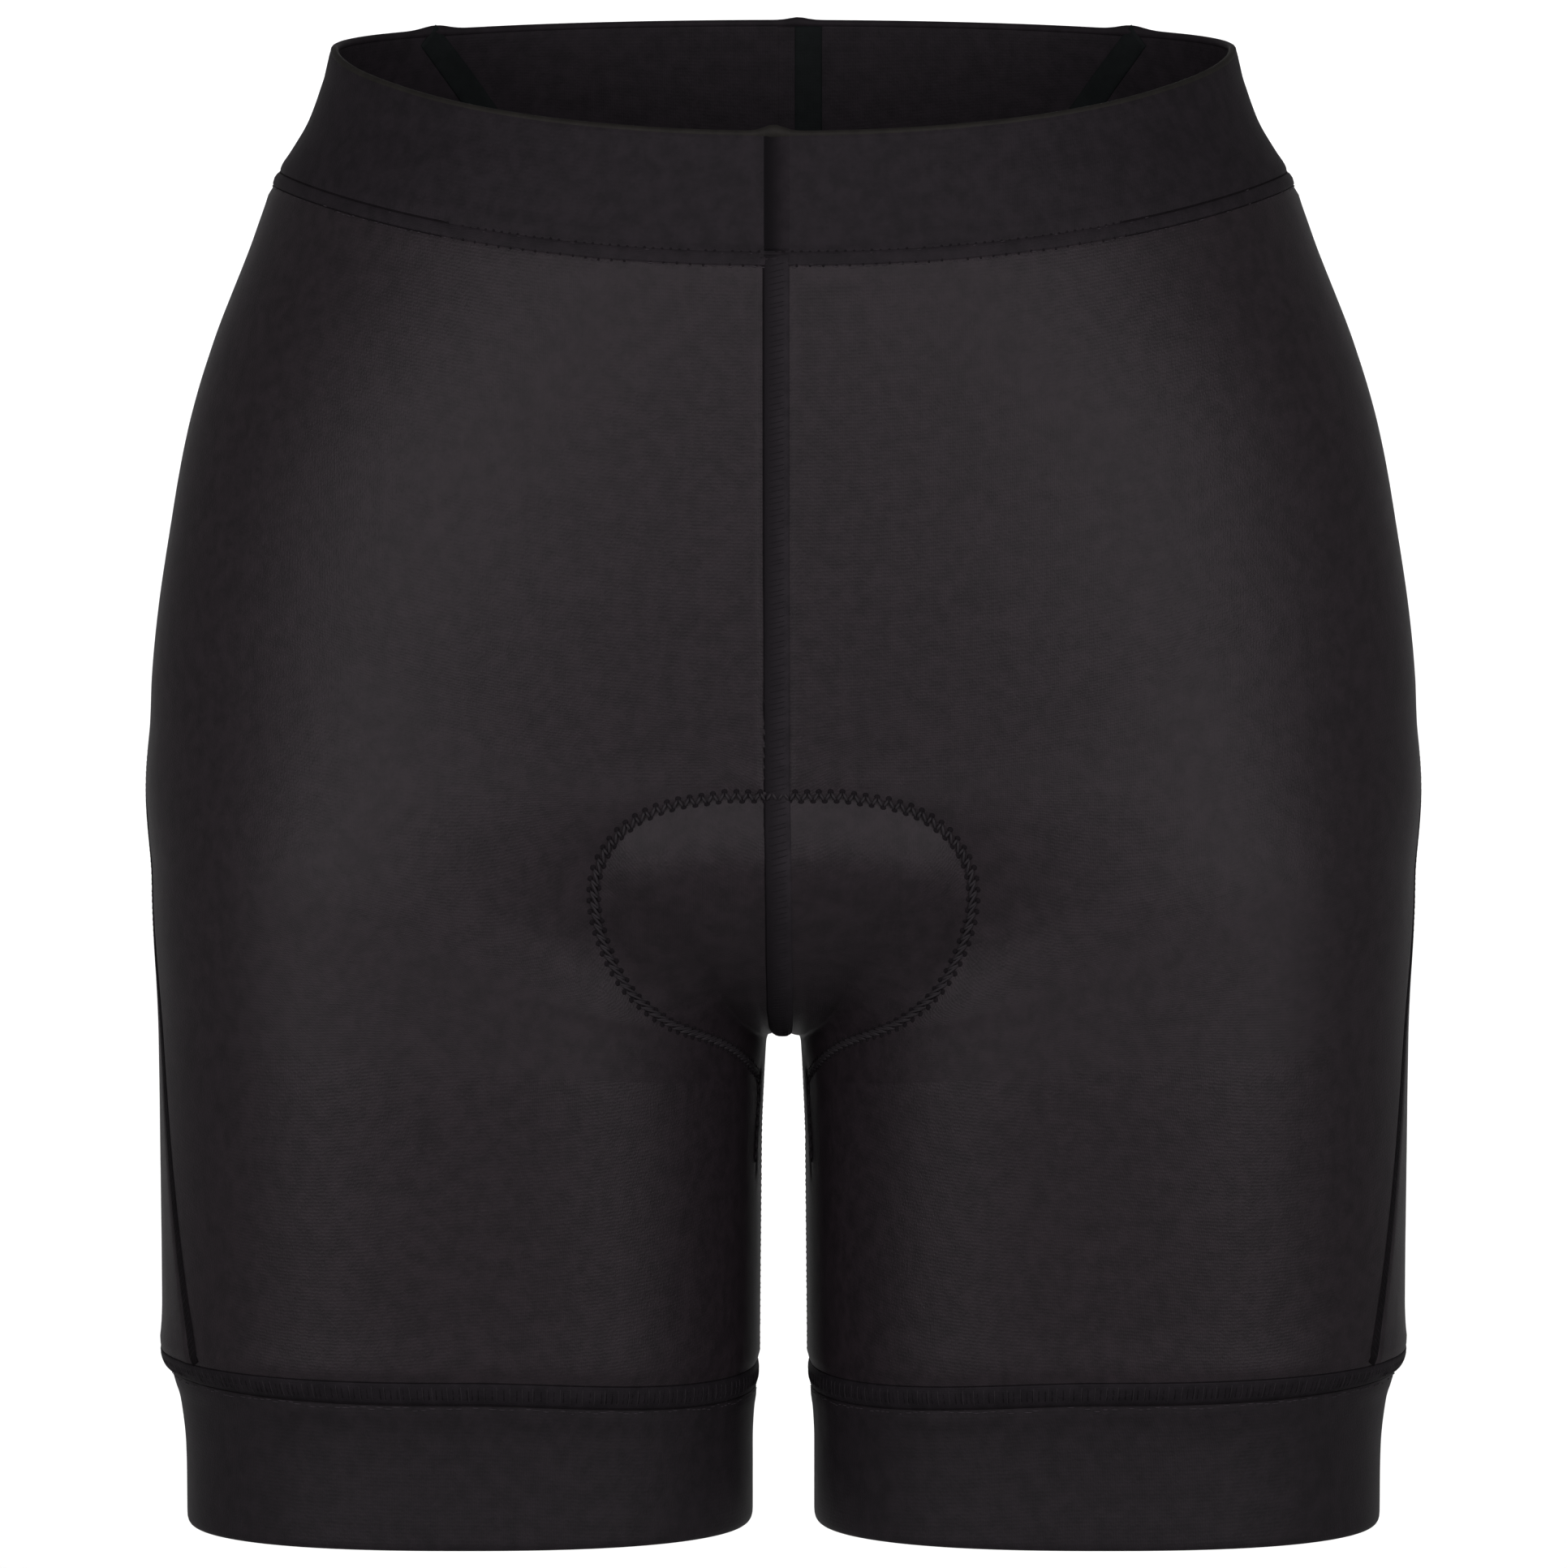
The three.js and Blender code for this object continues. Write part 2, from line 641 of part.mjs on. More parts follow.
// A piece of the waistband, from the centre seam of the front (side -1) or the back (side 1) to the back joint
function bandPiece(side, columns) {
  const sections = [];
  for (let j = 0; j <= columns; j += 1) {
    const place = (z) => {
      if (j === 0) return onCentre(side, z);
      const centreTurn = side * Math.abs(turnOf(onCentre(side, z)));
      const joint = around(z, jointTurn(z));
      const gap = (side * SLANTED_SEAM_HALF_GAP) / Math.hypot(joint.x - axisX(z), joint.y);
      return around(z, mix(centreTurn, turnOf(joint) + gap, j / columns));
    };
    const inside = (z, depth) => {
      const p = inFrom(place(z), depth);
      if (j === 0) p.x = SEAM_HALF_GAP;
      return p;
    };
    const levelOf = (height) => {
      let z = 0;
      for (let step = 0; step < EDGE_STEPS; step += 1) z = height(place(z));
      return z;
    };
    const high = levelOf(waistTop);
    const low = levelOf(waistSeam) + SEAM_HALF_GAP;
    const levels = Array.from({ length: BAND_ROWS + 1 }, (_, i) => mix(high - EDGE_ROUNDING, low, i / BAND_ROWS));
    sections.push({
      outer: levels.map((z) => inside(z, 0)),
      inner: levels.map((z) => inside(z, BAND_WALL)),
      crest: inside(high, BAND_WALL / 2),
    });
  }
  return facingOut(cloth(sections, false));
}

// Cuff round one leg, from the points of the panels' last rows
function cuff(front, back) {
  const ring = [...front.at(-1).points, ...[...back.at(-1).points].reverse()].map(turnOf);
  const turns = ring.filter((turn, i) => i === 0 || Math.abs(turn - ring[i - 1]) > LEAST_CUFF_TURN);
  if (Math.abs(Math.abs(turns.at(-1)) - Math.abs(turns[0])) < LEAST_CUFF_TURN) turns.pop();
  const sections = turns.map((turn) => {
    const high = onEdge(cuffSeam, turn, -SEAM_HALF_GAP).z;
    const low = HEM_Z + EDGE_ROUNDING;
    const levels = CUFF_ROW_HEIGHTS.map((share) => mix(high, low, share));
    return {
      outer: levels.map((z) => around(z, turn)),
      inner: levels.map((z) => inFrom(around(z, turn), CUFF_WALL)),
      foot: inFrom(around(HEM_Z, turn), CUFF_WALL / 2),
    };
  });
  return facingOut(cloth(sections, true));
}

const shorts = new THREE.Group();

function addPiece(name, { points, faces }, colour) {
  const geometry = new THREE.BufferGeometry();
  const corners = faces.flatMap((face) => face.flatMap((index) => points[index].toArray()));
  geometry.setAttribute("position", new THREE.Float32BufferAttribute(corners, 3));
  geometry.computeVertexNormals();
  const mesh = new THREE.Mesh(geometry, new THREE.MeshStandardMaterial({ color: colour, roughness: 0.8 }));
  mesh.name = name;
  shorts.add(mesh);
}

const KNIT_COLOUR = 0x2b282c;
const BAND_COLOUR = 0x242226;
const PAD_COLOUR = 0x1c1b1e;

const frontGrid = panelGrid(-1, "front");
const backGrid = panelGrid(1, "back");
const halves = [
  { piece: "front", solid: panel(frontGrid, -1), colour: KNIT_COLOUR },
  { piece: "back", solid: panel(backGrid, 1), colour: KNIT_COLOUR },
  { piece: "waistband_front", solid: bandPiece(-1, BAND_FRONT_COLUMNS), colour: BAND_COLOUR },
  { piece: "waistband_back", solid: bandPiece(1, BAND_BACK_COLUMNS), colour: BAND_COLOUR },
  { piece: "cuff", solid: cuff(frontGrid, backGrid), colour: BAND_COLOUR },
];
for (const { piece, solid, colour } of halves) {
  addPiece(`${piece}_left`, solid, colour);
  addPiece(`${piece}_right`, mirrored(solid), colour);
}
addPiece("seat_pad", padding(frontGrid, backGrid), PAD_COLOUR);

export default shorts;
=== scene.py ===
import math

import bpy
import numpy as np
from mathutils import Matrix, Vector
from mathutils.bvhtree import BVHTree


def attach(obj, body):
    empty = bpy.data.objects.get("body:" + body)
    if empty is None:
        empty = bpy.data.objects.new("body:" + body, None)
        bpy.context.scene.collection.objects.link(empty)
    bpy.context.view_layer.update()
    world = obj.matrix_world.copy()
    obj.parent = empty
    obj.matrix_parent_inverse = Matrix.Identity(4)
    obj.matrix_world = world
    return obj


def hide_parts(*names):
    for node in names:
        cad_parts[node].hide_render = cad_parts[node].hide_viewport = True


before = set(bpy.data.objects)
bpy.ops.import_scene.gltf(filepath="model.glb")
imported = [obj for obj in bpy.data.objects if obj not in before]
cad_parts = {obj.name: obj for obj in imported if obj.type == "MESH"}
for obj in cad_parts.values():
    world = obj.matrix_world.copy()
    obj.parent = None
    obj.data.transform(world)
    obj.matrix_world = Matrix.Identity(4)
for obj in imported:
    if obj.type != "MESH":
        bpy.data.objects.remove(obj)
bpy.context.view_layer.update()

# Lengths are in millimetres until a mesh is made.
# z runs up from the waist opening and the front faces minus y.
MM = 0.001

# Cloth
PANEL_WALL = 1.2
BAND_WALL = 2.0
CUFF_WALL = 1.7
WALL_GAP = 0.3

# Figure under the cloth
HIP_Z = -195
CROTCH_DEPTH = 79
BLEND = 12
CROTCH_BLEND = 4
CROTCH_BLEND_FROM = 10
CROTCH_BLEND_OVER = 14

# Finding points of the cloth: farthest search, rounds of each search, and the step of a walk over it
FAR = 260
HALVINGS = 36
LANDING_ROUNDS = 4
EDGE_ROUNDS = 12
SLOPE_STEP = 0.05
WALK_STEP = 1.5

# Edges of the waistband and the cuffs
TOP_DIP_FRONT = 22.5
TOP_DIP_POWER = 1.27
TOP_RISE_BACK = 7.2
WAIST_SEAM_SIDE = -37
WAIST_SEAM_DIP_FRONT = 19.6
WAIST_SEAM_RISE_BACK = 6
CUFF_SEAM_Z = -366
CUFF_SEAM_DIP_INSIDE = 5
CUFF_SEAM_DIP_FRONT = 2.2
HEM_Z = -411.8

# Rows and columns of one panel
ROWS_ABOVE_PAD = 50
ROWS_OVER_PAD = 70
ROWS_ON_INSEAM = 48
PAD_ROWS_ON_INSEAM = 24
INSEAM_ROW_POWER = 1.5
INNER_COLUMNS = 30
OUTER_COLUMNS = 56
FAN_START = 10
FAN_LENGTH = 80
INSEAM_FAN_LENGTH = 60
FAN_ANGLE = math.pi / 4

# Padding under the cloth, and how it raises the panels
PAD_TOP = {"front": 141.4, "back": 152}
PAD_RAISE = 4.0
PAD_RAISE_WIDTH = 9.0
PAD_BULGE = 2.2
PAD_BULGE_Z = -222
PAD_BULGE_WIDTH = 17
PAD_BULGE_FADE = 18
PAD_RAISE_AT_CROTCH = 0.35
PAD_RAISE_FADE = 60
PAD_STITCH_BAND = 2.8
PAD_STITCH_DIP = 0.35
PAD_STITCH_DIP_WIDTH = 1.6
PAD_EDGE_PITCH = 0.8
PAD_RIM = 1.6
PAD_LOFT = 4.6
PAD_LOFT_SLOPE = 7.0

SIDES = {"front": -1, "back": 1}
HANDS = {"left": 1, "right": -1}


def table(names, *rows):
    """Named columns of a short table."""
    columns = np.array(rows, dtype=float).T
    return dict(zip(names.split(), columns))


BODY = table(
    "z side front back round",
    (-195, 177, 104, 119, 2.35),
    (-176, 176.4, 105, 120.5, 2.35),
    (-140, 172, 106, 119, 2.3),
    (-105, 165.7, 105.5, 113.5, 2.25),
    (-82, 158.8, 104.5, 108, 2.2),
    (-58, 149.4, 102.5, 102, 2.15),
    (-36, 141, 99.5, 97, 2.1),
    (-20, 131.9, 97, 93.5, 2.05),
    (0, 126, 95, 91, 2.0),
    (12, 124.5, 94, 90, 2.0),
)
LEG = table(
    "z middle inside outside front back round",
    (-410, 88, 79.4, 79.1, 85.5, 82.5, 2.45),
    (-390, 88, 79.4, 79.4, 86, 83, 2.45),
    (-381, 88, 79.8, 80.2, 86.8, 84, 2.45),
    (-374, 88, 80.4, 81.6, 88.2, 85.4, 2.45),
    (-368, 88, 80.8, 84.4, 90.2, 87.4, 2.45),
    (-362, 88, 81.2, 86.2, 91.6, 88.8, 2.45),
    (-350, 88, 81.3, 86, 92.4, 89.6, 2.45),
    (-314, 88, 81.6, 86.2, 95, 93, 2.45),
    (-276, 88, 81.9, 86.8, 97, 97.5, 2.45),
    (-235, 88, 81.9, 88, 97, 102, 2.45),
    (-200, 88, 81.5, 84, 92, 100, 2.4),
    (-160, 86, 74, 68, 78, 86, 2.3),
    (-110, 82, 50, 40, 50, 50, 2.2),
)
OUTLINE = table(
    "z half",
    (-410, 167),
    (-390, 167.3),
    (-381, 168.2),
    (-374, 169.6),
    (-370, 170.8),
    (-366, 173.4),
    (-362, 174.3),
    (-350, 173.9),
    (-314, 174.2),
    (-270, 174.8),
    (-247, 175.9),
    (-223, 176.8),
    (-195, 177.4),
    (-176, 176.4),
    (-152, 173.9),
    (-129, 170.3),
    (-105, 165.7),
    (-82, 158.8),
    (-58, 149.4),
    (-36, 141),
    (-20, 131.9),
    (0, 126),
    (12, 124.5),
)
AXIS = table("z x", (-410, 88), (-200, 88), (-60, 66), (12, 60))
SIDE_SEAM = table(
    "z turn",
    (-372, -39.5),
    (-350, -34),
    (-312, -27),
    (-271, -20),
    (-235, -12),
    (-190, 3),
    (-140, 24),
    (-90, 44),
    (-34, 60),
)
BAND_JOINT = table("z x", (-40, 72), (-13, 90), (6, 104))
PAD_OUTLINE = {
    "front": table(
        "start half",
        (0, 27),
        (22, 26),
        (34, 26.5),
        (45, 28.5),
        (56, 32),
        (67, 37.5),
        (89, 48),
        (102, 52),
        (111, 53),
        (119, 52),
        (126, 48.8),
        (132, 43.8),
        (136.5, 37),
        (139.5, 28.5),
        (141.4, 16),
        (165, 34),
        (200, 42),
    ),
    "back": table(
        "start half",
        (0, 27),
        (22, 26),
        (34, 27),
        (45, 27.5),
        (56, 30.5),
        (70, 37),
        (95, 52.5),
        (115, 61),
        (125, 60),
        (134, 56.5),
        (141, 51),
        (146.5, 43),
        (150, 33),
        (152, 18),
    ),
}


def curve(at, values):
    """Smooth curve through a table's values, flat beyond both ends."""
    rises = np.diff(values) / np.diff(at)
    slopes = np.concatenate(([rises[0]], np.zeros(len(at) - 2), [rises[-1]]))
    before = rises[:-1]
    after = rises[1:]
    limit = 3 * np.minimum(np.abs(before), np.abs(after))
    size = np.minimum(np.abs(before + after) / 2, limit)
    slopes[1:-1] = np.where(before * after <= 0, 0, np.sign(before) * size)

    def value(x):
        x = np.clip(x, at[0], at[-1])
        i = np.clip(np.searchsorted(at, x, side="right") - 1, 0, len(at) - 2)
        step = at[i + 1] - at[i]
        t = (x - at[i]) / step
        t2 = t * t
        t3 = t2 * t
        start = values[i] * (2 * t3 - 3 * t2 + 1) + slopes[i] * step * (t3 - 2 * t2 + t)
        end = values[i + 1] * (3 * t2 - 2 * t3) + slopes[i + 1] * step * (t3 - t2)
        return start + end

    return value


def columns_of(rows, by):
    return {name: curve(rows[by], values) for name, values in rows.items() if name != by}


body = columns_of(BODY, "z")
leg = columns_of(LEG, "z")
axis_x = curve(AXIS["z"], AXIS["x"])
side_seam_turn = curve(SIDE_SEAM["z"], np.radians(SIDE_SEAM["turn"]))
band_joint_x = curve(BAND_JOINT["z"], BAND_JOINT["x"])
pad_half = {name: curve(rows["start"], rows["half"]) for name, rows in PAD_OUTLINE.items()}


def ease(t):
    held = np.clip(t, 0, 1)
    return held * held * (3 - 2 * held)


def mix(a, b, t):
    return a + (b - a) * t


def hump(distance, width):
    """One at no distance, falling away smoothly over a width."""
    return np.exp(-((distance / width) ** 2))


def soften(a, b, width):
    """Lowest of two distances, rounded over a width where they meet."""
    overlap = np.maximum(width - np.abs(a - b), 0) / width
    return np.minimum(a, b) - overlap * overlap * width / 4


def out_of(offsets, halves, roundness):
    """Distance out of a superellipse, measured along the line from its middle."""
    total = sum((np.abs(o) / h) ** roundness for o, h in zip(offsets, halves))
    length = np.sqrt(sum(o * o for o in offsets))
    return length * (1 - np.maximum(total, 1e-9) ** (-1 / roundness))


def out_of_body(x, y, z):
    level = np.maximum(z, HIP_Z)
    depth = np.where(y < 0, body["front"](level), body["back"](level))
    below = np.minimum(z - HIP_Z, 0)
    return out_of((x, y, below), (body["side"](level), depth, CROTCH_DEPTH), body["round"](level))


def out_of_leg(x, y, z):
    across = x - leg["middle"](z)
    half = np.where(across < 0, leg["inside"](z), leg["outside"](z))
    depth = np.where(y < 0, leg["front"](z), leg["back"](z))
    return out_of((across, y), (half, depth), leg["round"](z))


def out_of_figure(x, y, z):
    legs = np.minimum(out_of_leg(x, y, z), out_of_leg(-x, y, z))
    away = ease((np.abs(x) - CROTCH_BLEND_FROM) / CROTCH_BLEND_OVER)
    return soften(out_of_body(x, y, z), legs, mix(CROTCH_BLEND, BLEND, away))


def crossing(value, low, high):
    """Distances at which a function turns from minus to plus."""
    for _ in range(HALVINGS):
        middle = (low + high) / 2
        inside = value(middle) < 0
        low = np.where(inside, middle, low)
        high = np.where(inside, high, middle)
    return (low + high) / 2


def outline_stretch():
    z, y = np.meshgrid(OUTLINE["z"], np.arange(-60, 61, 4.0), indexing="ij")
    start = axis_x(z)
    widest = crossing(lambda x: out_of_figure(x, y, z), start, np.full_like(start, FAR)).max(axis=1)
    return curve(OUTLINE["z"], OUTLINE["half"] / widest)


stretch = outline_stretch()


def out_of_cloth(p):
    return out_of_figure(p[..., 0] / stretch(p[..., 2]), p[..., 1], p[..., 2])


def slope_at(p):
    parts = []
    for axis in range(3):
        shift = np.zeros(3)
        shift[axis] = SLOPE_STEP
        parts.append((out_of_cloth(p + shift) - out_of_cloth(p - shift)) / (2 * SLOPE_STEP))
    return np.stack(parts, axis=-1)


def unit(v):
    return v / np.maximum(np.linalg.norm(v, axis=-1, keepdims=True), 1e-12)


def outward(p):
    return unit(slope_at(p))


def onto_cloth(p):
    for _ in range(LANDING_ROUNDS):
        slope = slope_at(p)
        p = p - slope * (out_of_cloth(p) / (slope * slope).sum(-1))[..., None]
    return p


def around(z, turn):
    """Points of the cloth at heights and turns about the axis, from straight out."""
    z, turn = np.broadcast_arrays(np.asarray(z, float), np.asarray(turn, float))
    middle = axis_x(z)
    cosine = np.cos(turn)
    farthest = np.where(cosine < -1e-6, np.minimum(FAR, middle / np.maximum(-cosine, 1e-6)), FAR)

    def place(reach):
        return np.stack((middle + reach * cosine, reach * np.sin(turn), z), axis=-1)

    return place(crossing(lambda reach: out_of_cloth(place(reach)), np.zeros_like(middle), farthest))


def turn_of(p):
    return np.arctan2(p[..., 1], p[..., 0] - axis_x(p[..., 2]))


def on_centre(side, z):
    """Points of the centre line at heights, on the front (side -1) or the back (side 1)."""
    z = np.asarray(z, float)

    def place(reach):
        return np.stack((np.zeros_like(z), side * reach, z), axis=-1)

    return place(crossing(lambda reach: out_of_cloth(place(reach)), np.zeros_like(z), np.full_like(z, FAR)))


def walk(start, heading, distances):
    """Points passed when going over the cloth from points in directions, for rising distances in columns."""
    p = start.copy()
    passed = [p]
    for column in range(1, distances.shape[1]):
        gaps = distances[:, column] - distances[:, column - 1]
        steps = max(1, int(np.ceil(gaps.max() / WALK_STEP)))
        for _ in range(steps):
            normal = outward(p)
            heading = unit(heading - normal * (heading * normal).sum(-1, keepdims=True))
            p = onto_cloth(p + heading * (gaps / steps)[:, None])
        passed.append(p)
    return np.stack(passed, axis=1)


def lengths_along(points):
    steps = np.linalg.norm(np.diff(points, axis=0), axis=-1)
    return np.concatenate((np.zeros_like(steps[:1]), np.cumsum(steps, axis=0)))


class Line:
    """A line over the cloth, read by the length gone along it."""

    def __init__(self, points):
        self.points = points
        self.gone = lengths_along(points)
        self.length = self.gone[-1]

    def at(self, distance):
        distance = np.asarray(distance, float)
        return np.stack([np.interp(distance, self.gone, self.points[:, i]) for i in range(3)], axis=-1)

    def heading(self, distance):
        return unit(self.at(np.minimum(distance + 0.5, self.length)) - self.at(np.maximum(distance - 0.5, 0)))


def waist_top(p):
    y = p[..., 1]
    front = np.maximum(-y, 0) / body["front"](0.0)
    back = np.maximum(y, 0) / body["back"](0.0)
    return -TOP_DIP_FRONT * front**TOP_DIP_POWER + TOP_RISE_BACK * back


def waist_seam(p):
    y = p[..., 1]
    front = np.maximum(-y, 0) / body["front"](float(WAIST_SEAM_SIDE))
    back = np.maximum(y, 0) / body["back"](float(WAIST_SEAM_SIDE))
    return WAIST_SEAM_SIDE - WAIST_SEAM_DIP_FRONT * front**2 + WAIST_SEAM_RISE_BACK * back**2


def cuff_seam(p):
    forward = np.minimum(p[..., 1], 0) / leg["front"](float(CUFF_SEAM_Z))
    inward = ease(1 - p[..., 0] / leg["middle"](float(CUFF_SEAM_Z)))
    return CUFF_SEAM_Z - CUFF_SEAM_DIP_INSIDE * inward - CUFF_SEAM_DIP_FRONT * forward**2


def edge_height(height, turn):
    """Heights at which an edge passes turns about the axis."""
    p = around(np.zeros_like(turn), turn)
    for _ in range(EDGE_ROUNDS):
        p = around(height(p), turn)
    return p[..., 2]


def centre_line(side):
    """Centre line from the crotch point up to the waist seam."""
    turns = np.radians(np.arange(0, 90, 1.0))
    direction = np.stack((np.zeros_like(turns), side * np.sin(turns), -np.cos(turns)), axis=-1)
    middle = np.array((0.0, 0.0, HIP_Z))

    def place(reach):
        return middle + direction * reach[:, None]

    reach = crossing(lambda r: out_of_cloth(place(r)), np.zeros_like(turns), np.full_like(turns, FAR))
    low = place(reach)
    top = WAIST_SEAM_SIDE - (WAIST_SEAM_DIP_FRONT if side < 0 else -WAIST_SEAM_RISE_BACK)
    high = on_centre(side, np.linspace(HIP_Z, top, 90))
    return Line(np.concatenate((low, high)))


centre = {name: centre_line(side) for name, side in SIDES.items()}
crotch_point = centre["front"].points[0]


def inseam_line():
    distances = np.arange(0, 130.0)[None, :]
    passed = walk(crotch_point[None], np.array([[1.0, 0, 0]]), distances)[0]
    lowest = float(cuff_seam(np.zeros(3)))
    passed[:, 1] = 0
    kept = passed[passed[:, 2] > lowest]
    return Line(np.concatenate((kept, around(lowest, math.pi)[None])))


inseam = inseam_line()


def side_seam_points(share):
    z_top = float(WAIST_SEAM_SIDE)
    for _ in range(8):
        z_top = float(waist_seam(around(z_top, side_seam_turn(z_top))))
    z = mix(z_top, CUFF_SEAM_Z, share)
    return around(z, side_seam_turn(z))


def panel_grid(side, name):
    """Points of half a front or back: rows run from the waist to the cuff, columns from centre to side."""
    line = centre[name]
    over = PAD_TOP[name]
    start_above = mix(line.length, over, np.linspace(0, 1, ROWS_ABOVE_PAD + 1)[:-1])
    start_over = over * (1 - np.linspace(0, 1, ROWS_OVER_PAD + 1))
    gone = np.concatenate((start_above, start_over))
    gone_down = inseam.length * np.linspace(0, 1, ROWS_ON_INSEAM + 1)[1:] ** INSEAM_ROW_POWER
    starts = np.concatenate((line.at(gone), inseam.at(gone_down)))
    up = line.heading(gone)
    down = inseam.heading(gone_down)
    tilt = FAN_ANGLE * (1 - ease((gone - FAN_START) / FAN_LENGTH))[:, None]
    tilt_down = FAN_ANGLE * np.maximum(0, 1 - gone_down / INSEAM_FAN_LENGTH)[:, None]
    sideways = np.array((1.0, 0, 0))
    outwards = np.array((0, float(side), 0))
    headings = np.concatenate(
        (sideways * np.cos(tilt) + up * np.sin(tilt), outwards * np.cos(tilt_down) + down * np.sin(tilt_down))
    )
    halves = np.concatenate((pad_half[name](gone), np.full(len(gone_down), pad_half[name](0.0))))
    shares = np.linspace(0, 1, INNER_COLUMNS + 1)
    inner = walk(starts, headings, halves[:, None] * shares)
    edge = inner[:, -1]
    seam = side_seam_points(np.linspace(0, 1, len(starts)))
    share = np.linspace(0, 1, OUTER_COLUMNS + 1)[1:]
    turns = mix(turn_of(edge)[:, None], turn_of(seam)[:, None], share)
    heights = mix(edge[:, 2][:, None], seam[:, 2][:, None], (ease(share) + share) / 2)
    grid = np.concatenate((inner, around(heights, turns)), axis=1)
    return level_edges(grid, side)


def level_edges(grid, side):
    """Brings the first and last rows onto the waist and cuff seams, and lets the rows beside them follow."""
    rows = len(grid)
    turns = turn_of(grid)
    heights = grid[..., 2].copy()
    top_shift = edge_height(waist_seam, turns[0]) - heights[0]
    low_shift = edge_height(cuff_seam, turns[-1]) - heights[-1]
    number = np.arange(rows)[:, None]
    near_top = 1 - ease(number / (0.5 * ROWS_ABOVE_PAD))
    near_low = 1 - ease((rows - 1 - number) / (0.4 * ROWS_ON_INSEAM))
    heights += near_top * top_shift + near_low * low_shift
    moved = (near_top + near_low)[:, 0] > 0
    grid[moved] = around(heights[moved], turns[moved])
    grid[:ROWS_ABOVE_PAD, 0] = on_centre(side, grid[:ROWS_ABOVE_PAD, 0, 2])
    return grid


grids = {name: panel_grid(side, name) for name, side in SIDES.items()}


def nearest(points, line):
    """Distance from each point to the nearest point of a dense line."""
    flat = points.reshape(-1, 3)
    least = np.full(len(flat), 1e9)
    for first in range(0, len(line), 60):
        apart = np.linalg.norm(flat[:, None] - line[None, first : first + 60], axis=-1)
        least = np.minimum(least, apart.min(axis=1))
    return least.reshape(points.shape[:-1])


def dense(line, pitch):
    length = Line(line).length
    return Line(line).at(np.arange(0, length, pitch))


def pad_edge(name):
    """Outline of the padding on half a front or back, from the centre seam round to the inside leg."""
    grid = grids[name]
    last = ROWS_ABOVE_PAD + ROWS_OVER_PAD + PAD_ROWS_ON_INSEAM
    across = grid[ROWS_ABOVE_PAD, : INNER_COLUMNS + 1]
    down = grid[ROWS_ABOVE_PAD + 1 : last, INNER_COLUMNS]
    return np.concatenate((across, down))


def pad_depth(name):
    """Distance inside the padding's outline for each point of a grid, minus outside."""
    grid = grids[name]
    apart = nearest(grid, dense(pad_edge(name), PAD_EDGE_PITCH))
    inside = np.zeros(grid.shape[:2], bool)
    last = ROWS_ABOVE_PAD + ROWS_OVER_PAD + PAD_ROWS_ON_INSEAM
    inside[ROWS_ABOVE_PAD : last + 1, : INNER_COLUMNS + 1] = True
    return np.where(inside, apart, -apart)


# Seams: half widths and heights of the flat ribbons of sewing, and the dip of the cloth along their edges
SEAM_FOOT = 0.35
SEAM_DIP = 0.4
SEAM_DIP_WIDTH = 0.9
SEAM_RISE = 0.22
SEAM_RISE_AWAY = 3.2
SEAM_RISE_WIDTH = 2.2
SEAMS = {
    "waist": {"half": 1.9, "lift": 0.14},
    "cuff": {"half": 3.2, "lift": 0.4},
    "side": {"half": 2.3, "lift": 0.22},
    "inseam": {"half": 1.9, "lift": 0.22},
    "centre": {"half": 3.5, "lift": 0.45},
    "joint": {"half": 3.2, "lift": 0.3},
}

# How far the centre seams lie from the centre plane, and their half widths, going up from the crotch
CENTRE_OFFSET = {
    "front": table(
        "start shift half",
        (0, 0.1, 1.8),
        (25, -0.1, 2.2),
        (50, -0.6, 3.2),
        (80, -1.0, 3.5),
        (110, -1.2, 3.5),
        (150, -1.7, 3.5),
        (300, -1.9, 3.5),
    ),
    "back": table(
        "start shift half",
        (0, 0, 1.9),
        (60, 0.3, 2.6),
        (110, 0.8, 3.3),
        (150, 1.6, 3.4),
        (300, 1.9, 3.4),
    ),
}

# Soft creases pressed into the front: height, reach across from the centre plane, and depth
CREASES = table(
    "z inner outer depth width tilt",
    (-123, 40, 118, 0.16, 2.2, 0.02),
    (-127, 66, 150, -0.12, 3.0, -0.03),
    (-191, 92, 160, 0.14, 2.0, 0.03),
    (-153, 10, 70, 0.10, 3.2, 0.05),
    (-93, 20, 88, 0.10, 3.5, -0.04),
)

# Folds at the lower corners of the padding: ends of each line, depth and width
FOLDS = table(
    "x_high z_high x_low z_low depth width",
    (-49.5, -237, -36.5, -262, 0.8, 2.0),
    (49.5, -236, 38, -261, 0.7, 2.0),
    (-44, -246, -24, -266, 0.4, 2.6),
    (46, -246, 27, -266, 0.4, 2.6),
    (-50, -212, -46.5, -232, 0.3, 2.4),
    (50, -214, 47, -230, 0.3, 2.4),
)


def fold_depth(x, z):
    """Depth of the folds at points seen from the front."""
    total = np.zeros_like(x)
    for x_high, z_high, x_low, z_low, deep, width in zip(*FOLDS.values()):
        run = np.array((x_low - x_high, z_low - z_high))
        share = np.clip(((x - x_high) * run[0] + (z - z_high) * run[1]) / (run @ run), 0, 1)
        apart = np.hypot(x - x_high - share * run[0], z - z_high - share * run[1])
        total += deep * ease(4 * share * (1 - share) * 2) * hump(apart, width)
    return total


def side_distance(grid):
    """Distance of each point of a grid from the side seam, along its row."""
    return lengths_along(grid[:, ::-1].transpose(1, 0, 2)).T[:, ::-1]


def centre_distance(grid):
    return lengths_along(grid.transpose(1, 0, 2)).T


